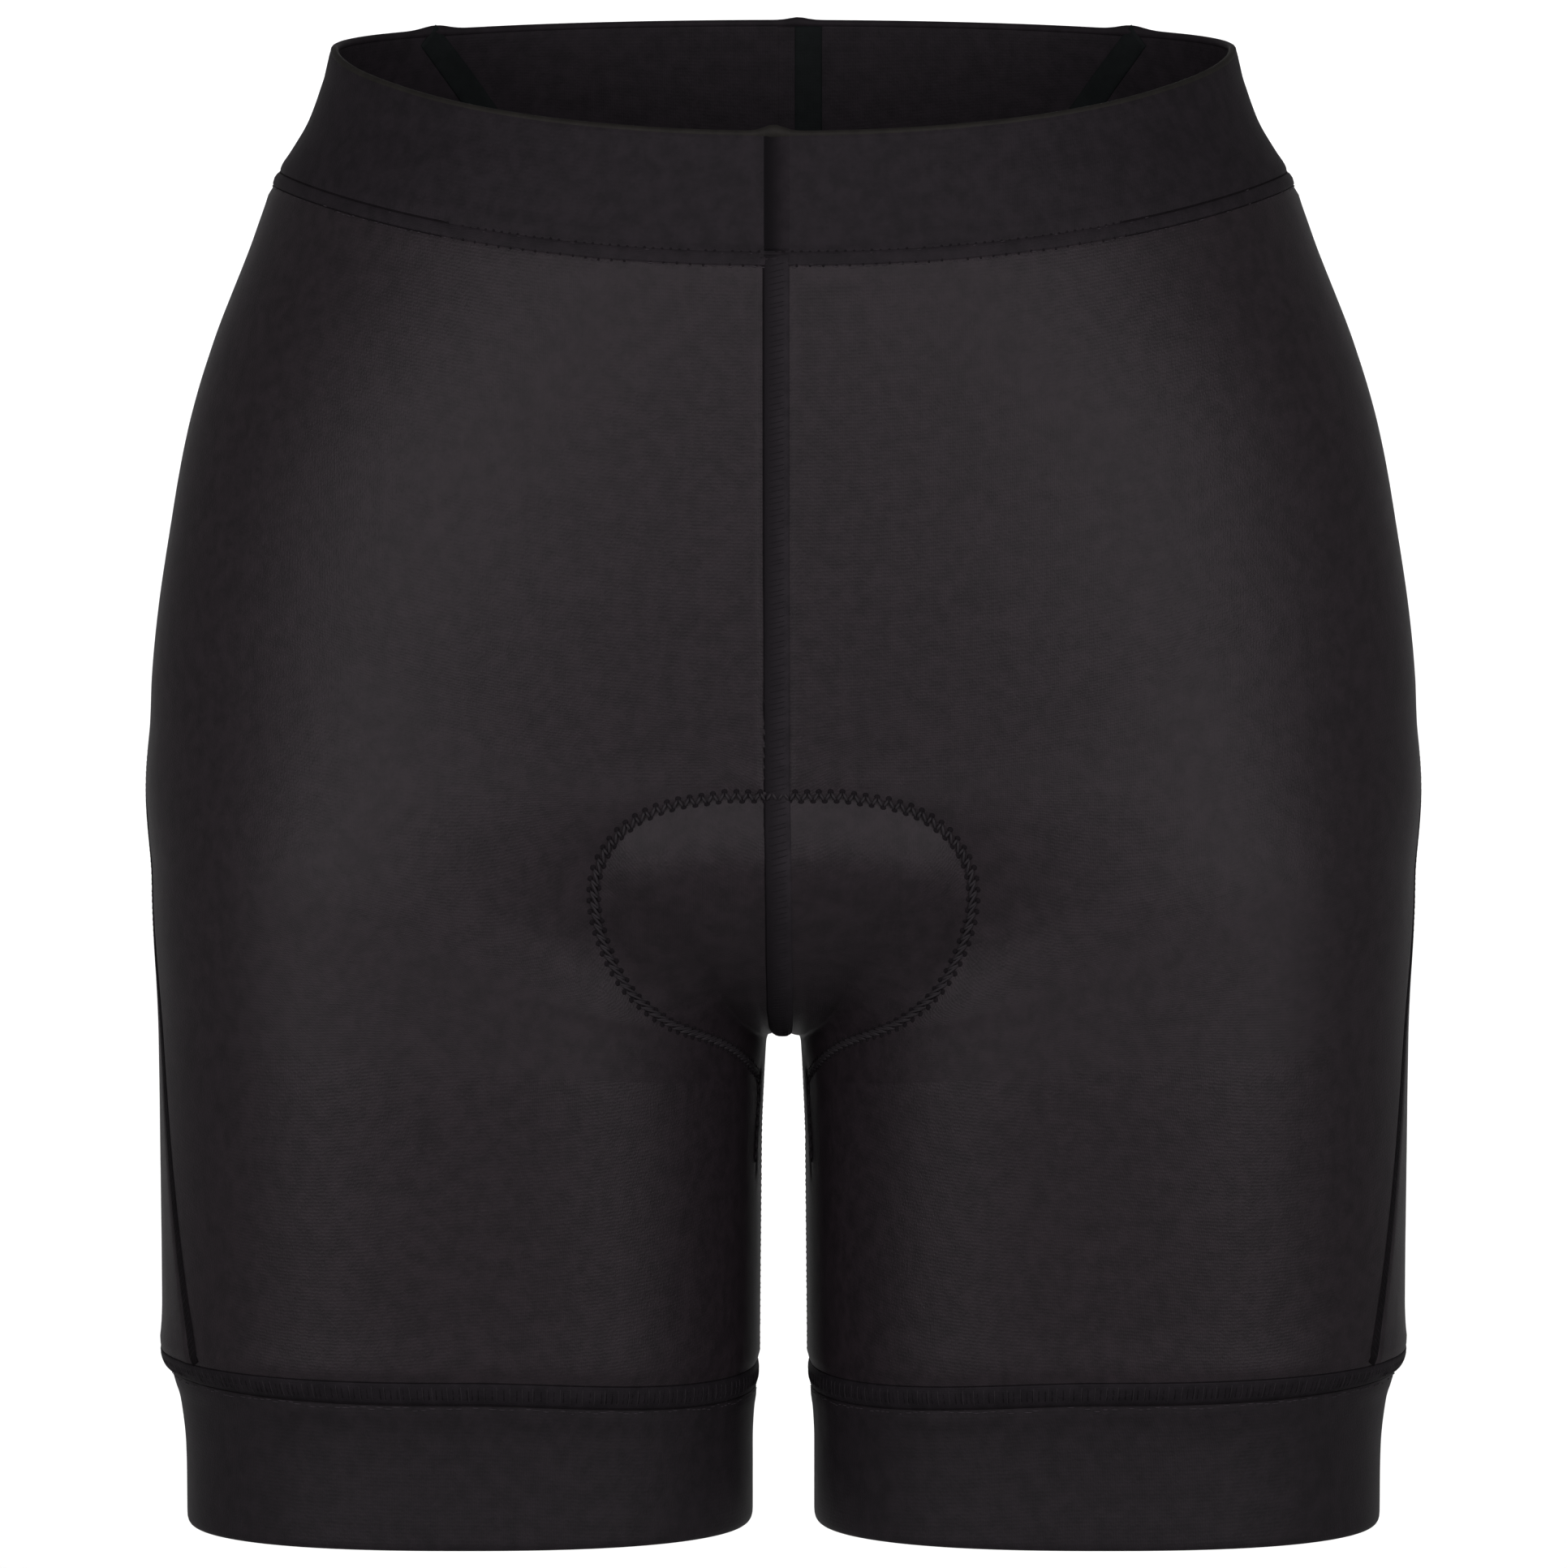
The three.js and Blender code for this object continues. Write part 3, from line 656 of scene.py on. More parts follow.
def seam_dip(distance, half):
    """Dip of the cloth along the edge of a ribbon of sewing, and its slight rise just beyond."""
    beyond = np.abs(distance) - half
    rise = SEAM_RISE * hump(beyond - SEAM_RISE_AWAY, SEAM_RISE_WIDTH)
    return rise - SEAM_DIP * hump(beyond, SEAM_DIP_WIDTH)


def panel_relief(name, hand):
    """How far the outside of a panel stands out, on the wearer's left (hand 1) or right (hand -1)."""
    grid = grids[name]
    depth = pad_depth(name)
    from_crotch = np.linalg.norm(grid - crotch_point, axis=-1)
    raised = mix(PAD_RAISE_AT_CROTCH, 1, ease(from_crotch / PAD_RAISE_FADE))
    last_pad_row = ROWS_ABOVE_PAD + ROWS_OVER_PAD + PAD_ROWS_ON_INSEAM
    raised *= ease((last_pad_row - np.arange(len(grid))) / PAD_ROWS_ON_INSEAM)[:, None]
    relief = PAD_RAISE * raised * (1 - np.exp(-np.maximum(depth - PAD_STITCH_BAND, 0) / PAD_RAISE_WIDTH))
    if name == "front":
        bulge = hump(grid[..., 2] - PAD_BULGE_Z, PAD_BULGE_WIDTH)
        relief += PAD_BULGE * ease((depth - PAD_STITCH_BAND) / PAD_BULGE_FADE) * bulge
    relief -= PAD_STITCH_DIP * hump(depth - PAD_STITCH_BAND / 2, PAD_STITCH_DIP_WIDTH)
    relief += seam_dip(side_distance(grid), SEAMS["side"]["half"])
    down = lengths_along(grid)
    relief += seam_dip(down, SEAMS["waist"]["half"])
    relief += seam_dip(down[-1] - down, SEAMS["cuff"]["half"])
    below_waist = np.abs(grid[..., 2] - grid[0, 0, 2])
    offset = CENTRE_OFFSET[name]
    along = np.clip(centre[name].length - below_waist, 0, None)
    shift = hand * curve(offset["start"], offset["shift"])(along)
    half = curve(offset["start"], offset["half"])(along)
    relief += seam_dip(centre_distance(grid) - shift, half)
    gathers = np.sin(grid[..., 0] * 0.52 + 1.3 * np.sin(grid[..., 0] * 0.11))
    relief += 0.07 * gathers * (np.exp(-down / 9) + np.exp(-(down[-1] - down) / 7))
    if name == "front":
        for z, inner, outer, deep, width, tilt in zip(*CREASES.values()):
            reach = ease((grid[..., 0] - inner) / 14) * ease((outer - grid[..., 0]) / 18)
            level = grid[..., 2] - z - tilt * (grid[..., 0] - inner) - (2.5 if hand > 0 else 0)
            relief += deep * reach * hump(level, width)
        relief -= fold_depth(hand * grid[..., 0], grid[..., 2])
        groove = hand * grid[..., 0] - (curve(offset["start"], offset["shift"])(along) - half)
        relief -= 0.35 * hump(groove + 0.3, 0.8)
    return relief


def new_object(name, points, faces, uv=None):
    """Smooth mesh piece on the part's one body."""
    mesh = bpy.data.meshes.new(name)
    faces = faces if isinstance(faces, list) else faces.tolist()
    mesh.from_pydata((np.asarray(points) * MM).tolist(), [], faces)
    if uv is not None:
        layer = mesh.uv_layers.new(name="cloth")
        corner = np.empty(len(mesh.loops), dtype=np.int32)
        mesh.loops.foreach_get("vertex_index", corner)
        layer.data.foreach_set("uv", np.asarray(uv, float)[corner].ravel())
    mesh.polygons.foreach_set("use_smooth", np.ones(len(mesh.polygons), bool))
    mesh.update()
    piece = bpy.data.objects.new(name, mesh)
    bpy.context.scene.collection.objects.link(piece)
    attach(piece, "root")
    return piece


def grid_faces(rows, columns, first=0, turned=False, closed=False):
    """Faces between the points of a grid; a closed one joins its last column to its first."""
    steps = columns if closed else columns - 1
    i, j = np.meshgrid(np.arange(rows - 1), np.arange(steps), indexing="ij")
    a = first + i * columns + j
    b = first + i * columns + (j + 1) % columns
    quads = np.stack((a, b, b + columns, a + columns), axis=-1).reshape(-1, 4)
    return quads[:, ::-1] if turned else quads


def shell(name, outer, inner, turned=False, closed=False):
    """Solid wall between two grids of points; a closed one is a ring whose last column meets its first."""
    rows, columns = outer.shape[:2]
    count = rows * columns
    points = np.concatenate((outer.reshape(-1, 3), inner.reshape(-1, 3)))
    faces = [
        grid_faces(rows, columns, 0, turned, closed),
        grid_faces(rows, columns, count, not turned, closed),
    ]

    def rim(line):
        a, b = line[:-1], line[1:]
        quads = np.stack((a, a + count, b + count, b), axis=-1)
        return quads[:, ::-1] if turned else quads

    index = np.arange(count).reshape(rows, columns)
    top = np.append(index[0], index[0, 0]) if closed else index[0]
    low = np.append(index[-1], index[-1, 0]) if closed else index[-1]
    faces += [rim(top), rim(low[::-1])]
    if not closed:
        faces += [rim(index[::-1, 0]), rim(index[:, -1])]
    along = lengths_along(outer)
    across = lengths_along(outer.transpose(1, 0, 2)).T
    uv = np.stack((across, -along), axis=-1).reshape(-1, 2) * MM
    return new_object(name, points, np.concatenate(faces), np.concatenate((uv, uv)))


def mirror(points):
    return points * np.array((-1.0, 1, 1))


def handed(points, hand):
    return points if hand > 0 else mirror(points)


outsides = []
cloth = {}


def add_cloth(name, outer, inner, turned, closed=False):
    piece = shell(name + "_cloth", outer, inner, turned, closed)
    cloth[name] = piece
    outsides.append((outer, turned, closed))
    return piece


def add_panels(part, side):
    """Left and right halves of the front or back."""
    grid = grids[part]
    crotch_row = ROWS_ABOVE_PAD + ROWS_OVER_PAD
    normal = outward(grid)
    normal[: crotch_row + 1, 0, 0] = 0
    normal[crotch_row:, 0, 1] = 0
    for hand_name, hand in HANDS.items():
        relief = panel_relief(part, hand)[..., None]
        outer = handed(grid + normal * relief, hand)
        inner = handed(grid - normal * PANEL_WALL, hand)
        add_cloth(f"{part}_{hand_name}", outer, inner, turned=side * hand > 0)


for part, side in SIDES.items():
    add_panels(part, side)


# Waistband, with finer columns near the join of its ends, and cuffs
BAND_ROWS = 34
BAND_COLUMNS = {"front": 110, "back": 60}
FINE_COLUMNS = 22
FINE_SHARE = {-1: 0.05, 1: 0.14}
EDGE_PROFILE = table(
    "down inward",
    (2.4, 0),
    (1.4, 0.08),
    (0.65, 0.32),
    (0.2, 0.68),
    (0, 1.0),
)


def joint_turn(z):
    x = band_joint_x(z)

    def place(reach):
        return np.stack((x, reach, z), axis=-1)

    reach = crossing(lambda r: out_of_cloth(place(r)), np.zeros_like(z), np.full_like(z, FAR))
    return turn_of(place(reach))


def band_grid(side, columns):
    """Outside and inside points of a piece of the waistband, rolled over at its top edge."""

    def turns_at(z):
        centre_turn = side * np.abs(turn_of(on_centre(side, z)))
        return mix(centre_turn, joint_turn(z), share)

    fine = np.linspace(0, FINE_SHARE[side], FINE_COLUMNS + 1)
    share = np.concatenate((fine, np.linspace(FINE_SHARE[side], 1, columns + 1)[1:]))
    columns += FINE_COLUMNS
    levels = []
    for height, start in ((waist_top, 0.0), (waist_seam, float(WAIST_SEAM_SIDE))):
        z = np.full(columns + 1, start)
        for _ in range(EDGE_ROUNDS):
            z = height(around(z, turns_at(z)))
        levels.append(z)
    top, low = levels
    straight = np.linspace(0, 1, BAND_ROWS + 1)[:, None]
    heights = mix(top - EDGE_PROFILE["down"][0], low, straight)
    flat = np.stack([around(z, turns_at(z)) for z in heights])
    flat[:, 0] = on_centre(side, heights[:, 0])
    normal = outward(flat)
    normal[:, 0, 0] = 0
    crest_points = []
    crest_inner = []
    for down, inward in zip(EDGE_PROFILE["down"][:0:-1], EDGE_PROFILE["inward"][:0:-1]):
        z = top - down
        base = around(z, turns_at(z))
        base[0] = on_centre(side, z[:1])[0]
        out = outward(base)
        out[0, 0] = 0
        crest_points.append(base - out * inward * BAND_WALL / 2)
        crest_inner.append(base - out * (BAND_WALL - inward * BAND_WALL / 2))
    return flat, normal, np.stack(crest_points), np.stack(crest_inner)


# Join of the band's ends at the centre: a step down at its left edge that fades out to the right
BAND_JOIN = {-1: {"left": -5.3, "fade": 6.5, "deep": 0.75}, 1: {"left": 0.8, "fade": 7.0, "deep": 0.5}}


def band_relief(flat, side, hand):
    up = lengths_along(flat[::-1])[::-1]
    relief = seam_dip(up, SEAMS["waist"]["half"])
    roll = lengths_along(flat)
    relief = relief - 0.12 * hump(roll - 7.0, 2.6)
    join = BAND_JOIN[side]
    past = hand * flat[..., 0] - join["left"]
    return relief - join["deep"] * ease(past / 0.7) * (1 - ease((past - 1.5) / join["fade"]))


def add_band(part, side):
    """Left and right halves of the waistband's front or back part."""
    flat, normal, crest, crest_inner = band_grid(side, BAND_COLUMNS[part])
    for hand_name, hand in HANDS.items():
        relief = band_relief(flat, side, hand)
        outer = np.concatenate((crest, flat + normal * relief[..., None]))
        inner = np.concatenate((crest_inner, flat - normal * BAND_WALL))
        name = f"waistband_{part}_{hand_name}"
        add_cloth(name, handed(outer, hand), handed(inner, hand), turned=side * hand > 0)


for part, side in SIDES.items():
    add_band(part, side)

CUFF_COLUMNS = 180
CUFF_ROWS = 30
CUFF_GATHERS = {"height": 0.05, "count": 46, "fade": 8}


def cuff_grid():
    turns = np.linspace(-math.pi, math.pi, CUFF_COLUMNS + 1)[:-1]
    top = edge_height(cuff_seam, turns)
    straight = np.linspace(0, 1, CUFF_ROWS + 1)[:, None]
    heights = mix(top, HEM_Z + EDGE_PROFILE["down"][0], straight)
    flat = np.stack([around(z, turns) for z in heights])
    foot = []
    foot_inner = []
    for down, inward in zip(EDGE_PROFILE["down"][1:], EDGE_PROFILE["inward"][1:]):
        base = around(np.full_like(turns, HEM_Z + down), turns)
        out = outward(base)
        foot.append(base - out * inward * CUFF_WALL / 2)
        foot_inner.append(base - out * (CUFF_WALL - inward * CUFF_WALL / 2))
    return flat, outward(flat), np.stack(foot), np.stack(foot_inner)


def add_cuffs():
    flat, normal, foot, foot_inner = cuff_grid()
    down = lengths_along(flat)
    relief = seam_dip(down, SEAMS["cuff"]["half"])
    gathers = CUFF_GATHERS["height"] * np.sin(turn_of(flat) * CUFF_GATHERS["count"])
    relief = relief + gathers * np.exp(-down / CUFF_GATHERS["fade"])
    outer = np.concatenate((flat + normal * relief[..., None], foot))
    inner = np.concatenate((flat - normal * CUFF_WALL, foot_inner))
    for hand_name, hand in HANDS.items():
        add_cloth(f"cuff_{hand_name}", handed(outer, hand), handed(inner, hand), turned=hand < 0, closed=True)


add_cuffs()


def outside_tree():
    """Search tree of the outside of the cloth, on which everything sewn on lies."""
    points = []
    faces = []
    count = 0
    for outer, turned, closed in outsides:
        rows, columns = outer.shape[:2]
        points.append(outer.reshape(-1, 3))
        faces.append(grid_faces(rows, columns, count, turned, closed))
        count += rows * columns
    return BVHTree.FromPolygons(np.concatenate(points).tolist(), np.concatenate(faces).tolist())


tree = outside_tree()


def to_left(p):
    """Signs that move points to the wearer's left of the centre plane, and back."""
    signs = np.ones_like(p)
    signs[..., 0] = np.where(p[..., 0] < 0, -1.0, 1.0)
    return signs


def mirrored_normal(p):
    """Outward direction of the cloth for points on either side of the centre plane."""
    return outward(p * to_left(p)) * to_left(p)


def mirror_onto(p):
    return onto_cloth(p * to_left(p)) * to_left(p)


def lay(points):
    """Points moved straight onto the outside of the cloth, with the outward directions there."""
    flat_points = points.reshape(-1, 3)
    directions = mirrored_normal(flat_points)
    placed = flat_points.copy()
    for i, (p, n) in enumerate(zip(flat_points, directions)):
        hit = tree.ray_cast(Vector(p + n * 6), Vector(-n), 12)
        if hit[0] is not None:
            placed[i] = hit[0]
    return placed.reshape(points.shape), directions.reshape(points.shape)


RIBBON_PROFILE = table(
    "across lift",
    (-1.0, -0.25),
    (-0.97, 0.35),
    (-0.86, 0.8),
    (-0.55, 1.0),
    (0.0, 1.0),
    (0.55, 1.0),
    (0.86, 0.8),
    (0.97, 0.35),
    (1.0, -0.25),
)


def ribbon(name, path, across, half, lift, shift=0.0, kind="seam"):
    """Flat ribbon of sewing over a seam: a raised strip along a path on the cloth."""
    half = np.broadcast_to(half, len(path))[:, None]
    shift = np.broadcast_to(shift, len(path))[:, None]
    offsets = shift + half * RIBBON_PROFILE["across"]
    spread = path[:, None] + across[:, None] * offsets[..., None]
    laid, normals = lay(mirror_onto(spread))
    rise = np.broadcast_to(lift, len(path))[:, None] * RIBBON_PROFILE["lift"]
    sewing.append((shell(name, laid + normals * rise[..., None], laid - normals * SEAM_FOOT), kind))


def inner_strip(name, path, across, half, wall, lift, kind):
    """Flat strip on the inside of the cloth."""
    offsets = half * RIBBON_PROFILE["across"]
    spread = mirror_onto(path[:, None] + across[:, None] * offsets[None, :, None])
    normals = mirrored_normal(spread)
    face = spread - normals * (wall + RIBBON_PROFILE["lift"] * lift)[None, :, None]
    sewing.append((shell(name, spread - normals * (wall - SEAM_FOOT), face), kind))


def tangent_across(path, side_hint):
    """Directions across a path on the cloth."""
    ahead = unit(np.gradient(path, axis=0))
    across = unit(np.cross(ahead, mirrored_normal(path)))
    flip = np.sign((across * side_hint).sum(-1, keepdims=True))
    return across * np.where(flip == 0, 1, flip)


def thread(name, lines, radius, sides=6):
    """Stitches: one thin tube along each short line."""
    points = []
    faces = []
    for line in lines:
        line = np.asarray(line)
        ahead = unit(np.gradient(line, axis=0))
        first = unit(np.cross(ahead, mirrored_normal(line)))
        second = np.cross(ahead, first)
        turns = np.linspace(0, 2 * math.pi, sides + 1)[:-1]
        ring = first[:, None] * np.cos(turns)[None, :, None] + second[:, None] * np.sin(turns)[None, :, None]
        taper = np.full(len(line), radius)
        taper[0] = taper[-1] = radius * 0.45
        points.append((line[:, None] + ring * taper[:, None, None]).reshape(-1, 3))
    count = 0
    for block, line in zip(points, lines):
        rows = len(line)
        faces.extend(grid_faces(rows, sides, count, False, True).tolist())
        faces.append(list(range(count, count + sides))[::-1])
        faces.append(list(range(count + (rows - 1) * sides, count + rows * sides)))
        count += len(block)
    return new_object(name, np.concatenate(points), faces)


def pits(name, places, normals, ahead, long, wide, deep):
    """Needle holes: small flattened beads sunk where the thread goes in; dressed dark, they are painted shade
    inside the holes.
    """
    segments, rings = 8, 3
    turns = np.linspace(0, 2 * math.pi, segments + 1)[:-1]
    polar = np.linspace(0, math.pi, rings + 2)[1:-1]
    body_ring = [
        (math.sin(a) * math.cos(t), math.sin(a) * math.sin(t), math.cos(a)) for a in polar for t in turns
    ]
    template = np.array([(0, 0, 1.0)] + body_ring + [(0, 0, -1.0)])
    faces = []
    for k in range(segments):
        following = (k + 1) % segments
        faces.append((0, 1 + k, 1 + following))
        last = 1 + (rings - 1) * segments
        faces.append((len(template) - 1, last + following, last + k))
        for ring in range(rings - 1):
            a = 1 + ring * segments
            faces.append((a + k, a + segments + k, a + segments + following))
            faces.append((a + k, a + segments + following, a + following))
    faces = np.array(faces)
    sideways = unit(np.cross(normals, ahead))
    points = (
        places[:, None]
        + ahead[:, None] * template[None, :, :1] * long
        + sideways[:, None] * template[None, :, 1:2] * wide
        + normals[:, None] * template[None, :, 2:] * deep
    )
    offsets = np.arange(len(places))[:, None, None] * len(template)
    return new_object(name, points.reshape(-1, 3), (faces[None] + offsets).reshape(-1, 3))


def along_line(points, pitch, start=0.0):
    line = Line(points)
    distances = np.arange(start, line.length, pitch)
    return line.at(distances), line.heading(distances)


sewing = []
rng = np.random.default_rng(11)


def needle_row(name, path, across, offset, pitch, long, wide, widest_x):
    """Row of needle holes beside a seam, as far to the sides as a width from the centre plane."""
    line = mirror_onto(path + across * offset)
    places, ahead = along_line(line, pitch)
    kept = (np.abs(places[:, 0]) < widest_x) & (rng.random(len(places)) < 0.94)
    laid, normals = lay(places[kept])
    laid = laid + across_jitter(laid, 0.12)
    sewing.append((pits(name, laid + normals * 0.02, normals, ahead[kept], long, wide, 0.16), "hole"))


def across_jitter(places, size):
    """Small uneven steps up and down."""
    return np.array((0, 0, 1.0)) * rng.normal(0, size, (len(places), 1))


def flecks(name, path, across, offset, pitch, long, share_kept, radius, lift):
    """Short bits of thread that show along a seam here and there."""
    line = Line(mirror_onto(path + across * offset))
    starts = np.arange(pitch, line.length - pitch, pitch)
    starts = starts[rng.random(len(starts)) < share_kept] + rng.normal(0, 0.3, 1)
    steps = np.linspace(0, 1, 4)
    lines = []
    for start in starts:
        laid, normals = lay(line.at(start + steps * long * rng.uniform(0.6, 1.2)))
        lines.append(laid + across_jitter(laid[:1], 0.25) + normals * (lift * np.sin(np.pi * steps))[:, None])
    sewing.append((thread(name, lines, radius), "thread"))


def seam_shadow_cord(name, path, across, offset, radius, sunk, kind):
    """One cord along a seam: in the dark knit it is painted shadow along the groove at the seam's edge, in a
    thread's knit a laid thread.
    """
    laid, normals = lay(mirror_onto(path + across * np.asarray(offset)[..., None]))
    sewing.append((thread(name, [laid - normals * sunk], radius), kind))


def cross_threads(name, path, across, half, shift, pitch, slant, radius, lift, kind):
    """Threads that cross a ribbon of sewing from edge to edge."""
    line = Line(path)
    distances = np.arange(pitch, line.length - pitch, pitch)
    centres = line.at(distances)
    ahead = line.heading(distances)
    sideways = np.stack([np.interp(distances, line.gone, across[:, i]) for i in range(3)], axis=-1)
    widths = np.interp(distances, line.gone, np.broadcast_to(half, len(path)))
    shifts = np.interp(distances, line.gone, np.broadcast_to(shift, len(path)))
    shares = np.linspace(-0.84, 0.84, 6)
    wander = rng.normal(0, 0.12, len(distances))
    reach = shifts[:, None] + widths[:, None] * shares
    along = (wander[:, None] + slant * shares) * pitch
    spread = centres[:, None] + sideways[:, None] * reach[..., None] + ahead[:, None] * along[..., None]
    laid, normals = lay(mirror_onto(spread))
    heights = lift * np.array((0.55, 1, 1, 1, 1, 0.55))
    sewing.append((thread(name, list(laid + normals * heights[None, :, None]), radius), kind))


SIDEWAYS = np.array((1.0, 0, 0))
CENTRE_SEAM_START = 2.2
BAND_JOIN_LIFT = 0.12


def level_across(path):
    return np.tile(SIDEWAYS, (len(path), 1))


def sew_centre(part, side):
    """Centre seam from the crotch point up to the waist seam, and the join of the band's ends above it."""
    below = centre[part].at(np.linspace(CENTRE_SEAM_START, centre[part].length, 130))
    gone = CENTRE_SEAM_START + lengths_along(below)
    offset = CENTRE_OFFSET[part]
    shift = curve(offset["start"], offset["shift"])(gone)
    half = curve(offset["start"], offset["half"])(gone)
    across = level_across(below)
    name = f"centre_seam_{part}"
    ribbon(name, below, across, half, SEAMS["centre"]["lift"], shift, "centre")
    cross_threads(name + "_stitches", below, across, half, shift, 1.7, 0.5, 0.11, 0.43, "centre")
    # Dark cord along one edge of the seam: painted shadow of the groove there
    seam_shadow_cord(name + "_fold", below, across, shift - half - 0.05, 0.3, 0.15, "dark_seam")
    z_high = float(waist_top(on_centre(side, 0.0))) - 1.4
    above = on_centre(side, np.linspace(below[-1, 2] + 1.0, z_high, 30))
    ribbon(f"band_join_{part}", above, level_across(above), half[-1], BAND_JOIN_LIFT, shift[-1], "strip")


def sew_leg(hand_name, hand):
    """Side seam and inside leg seam."""
    paths = {
        "side": side_seam_points(np.linspace(0.004, 0.992, 130)),
        "inseam": inseam.at(np.linspace(3.5, inseam.length - 4.2, 60)),
    }
    for seam_name, line in paths.items():
        path = handed(line, hand)
        across = tangent_across(path, np.array((0, 1.0, 0)))
        seam = SEAMS[seam_name]
        name = f"{seam_name}_seam_{hand_name}"
        ribbon(name, path, across, seam["half"], seam["lift"], kind="dark_seam")
        cross_threads(name + "_stitches", path, across, seam["half"], 0.0, 1.7, 0.5, 0.11, 0.24, "seam")


def ring_path(height, turns):
    return around(edge_height(height, turns), turns)


def whole_ring(height, count):
    """Line all the way round the waist at an edge, in two mirrored halves."""
    ends = [float(turn_of(on_centre(side, float(height(on_centre(side, -20.0)))))) for side in SIDES.values()]
    ring = ring_path(height, np.linspace(*ends, count))
    ring[0, 0] = ring[-1, 0] = 0
    return np.concatenate((ring, mirror(ring)[-2::-1]))


def ring_across(path):
    across = tangent_across(path, np.array((0, 0, 1.0)))
    across[0] = across[-1] = unit(across[1] + across[-2])
    return across


# The waist seam stands out more at the sides, where it folds, and at the back
WAIST_FOLD_X = 92
WAIST_FOLD_FADE = 50
WAIST_FOLD_LIFT = 0.5
WAIST_BACK_SHARE = 0.6


def sew_waist():
    path = whole_ring(waist_seam, 260)
    across = ring_across(path)
    sideways = ease((np.abs(path[:, 0]) - WAIST_FOLD_X) / WAIST_FOLD_FADE)
    share = np.where(path[:, 1] < 0, sideways, WAIST_BACK_SHARE)
    half = SEAMS["waist"]["half"]
    ribbon("waist_seam", path, across, half, mix(SEAMS["waist"]["lift"], WAIST_FOLD_LIFT, share), kind="band")
    needle_row("waist_seam_holes_high", path, across, half, 2.4, 0.4, 0.55, 132)
    needle_row("waist_seam_holes_low", path, across, -half, 3.6, 0.35, 0.5, 125)
    flecks("waist_seam_flecks_low", path, across, -half - 0.5, 2.2, 1.5, 0.6, 0.17, 0.14)
    flecks("waist_seam_flecks_high", path, across, half - 0.5, 2.6, 1.3, 0.3, 0.14, 0.12)
    # Dark cords along the seam's upper and lower edges at the sides: painted shadow lines where the band's
    # edge stands out
    for hand_name, hand in HANDS.items():
        on_side = (path[:, 0] * hand > WAIST_FOLD_X) & (path[:, 1] < 60)
        for row, (offset, radius) in {"high": (half + 0.1, 0.42), "low": (-half - 0.1, 0.26)}.items():
            name = f"waist_seam_fold_{row}_{hand_name}"
            seam_shadow_cord(name, path[on_side], across[on_side], offset, radius, 0.15, "dark_seam")


CUFF_MARK_PITCH = 3.4


def sew_cuff(hand_name, hand):
    path = handed(ring_path(cuff_seam, np.linspace(-math.pi, math.pi, 220)), hand)
    across = ring_across(path)
    half = SEAMS["cuff"]["half"]
    pitch = CUFF_MARK_PITCH
    name = f"cuff_seam_{hand_name}"
    ribbon(name, path, across, half, SEAMS["cuff"]["lift"], kind="seam")
    cross_threads(name + "_marks", path, across, half, 0.0, pitch, 0.08, 0.13, 0.38, "pad_thread")
    cross_threads(name + "_gaps", path, across, half * 0.8, 0.0, pitch / 2, 0.1, 0.16, 0.3, "dark_seam")
    # Dark cords along the seam's upper and lower edges: painted shadow lines, the lower one wider
    seam_shadow_cord(name + "_fold_high", path, across, half + 0.1, 0.22, 0.05, "dark_seam")
    seam_shadow_cord(name + "_fold_low", path, across, -half - 0.1, 0.4, 0.15, "dark_seam")
    flecks(name + "_flecks", path, across, -half - 1.1, 2.4, 2.0, 0.8, 0.17, 0.12)


STRIP_HALF = 4.0
STRIP_LIFT = 0.5
BACK_STRIP_X = 7.2
COVER_STRIP_X = 1.0
COVER_STRIP_HALF = 2.6
COVER_STRIP_LIFT = 0.08


def sew_band_joint(hand_name, hand):
    """Joint between the band's front and back parts, with the strip inside it."""
    z = np.linspace(-29, 3.0, 40)
    path = handed(around(z, joint_turn(z)), hand)
    across = tangent_across(path, SIDEWAYS)
    ribbon(f"band_joint_{hand_name}", path, across, SEAMS["joint"]["half"], SEAMS["joint"]["lift"])
    inner_strip(f"band_joint_inside_{hand_name}", path, across, STRIP_HALF, BAND_WALL, STRIP_LIFT, "lining")


def line_band_back():
    """Strips inside the join of the band's ends at the back."""
    path = on_centre(1, np.linspace(-28, 5.5, 30))
    across = level_across(path)
    beside = path + across * BACK_STRIP_X
    over = path + across * COVER_STRIP_X
    inner_strip("band_join_inside_back", beside, across, STRIP_HALF, BAND_WALL, STRIP_LIFT, "lining")
    inner_strip("band_join_cover_back", over, across, COVER_STRIP_HALF, BAND_WALL, COVER_STRIP_LIFT, "band")


for part, side in SIDES.items():
    sew_centre(part, side)
for hand_name, hand in HANDS.items():
    sew_leg(hand_name, hand)
sew_waist()
for hand_name, hand in HANDS.items():
    sew_cuff(hand_name, hand)
for hand_name, hand in HANDS.items():
    sew_band_joint(hand_name, hand)
line_band_back()

# Rolled edge of the waistband, thicker where seams end in it
EDGE_HALF_HEIGHT = 1.15
EDGE_HALF_DEPTH = 1.12
EDGE_LUMPS = table(
    "x front rise width",
    (-2.6, 1, 1.7, 3.6),
    (4.2, 0, 0.8, 3.4),
    (-99, 0, 1.2, 4.6),
    (99, 0, 1.2, 4.6),
)
EDGE_SIDES = 14


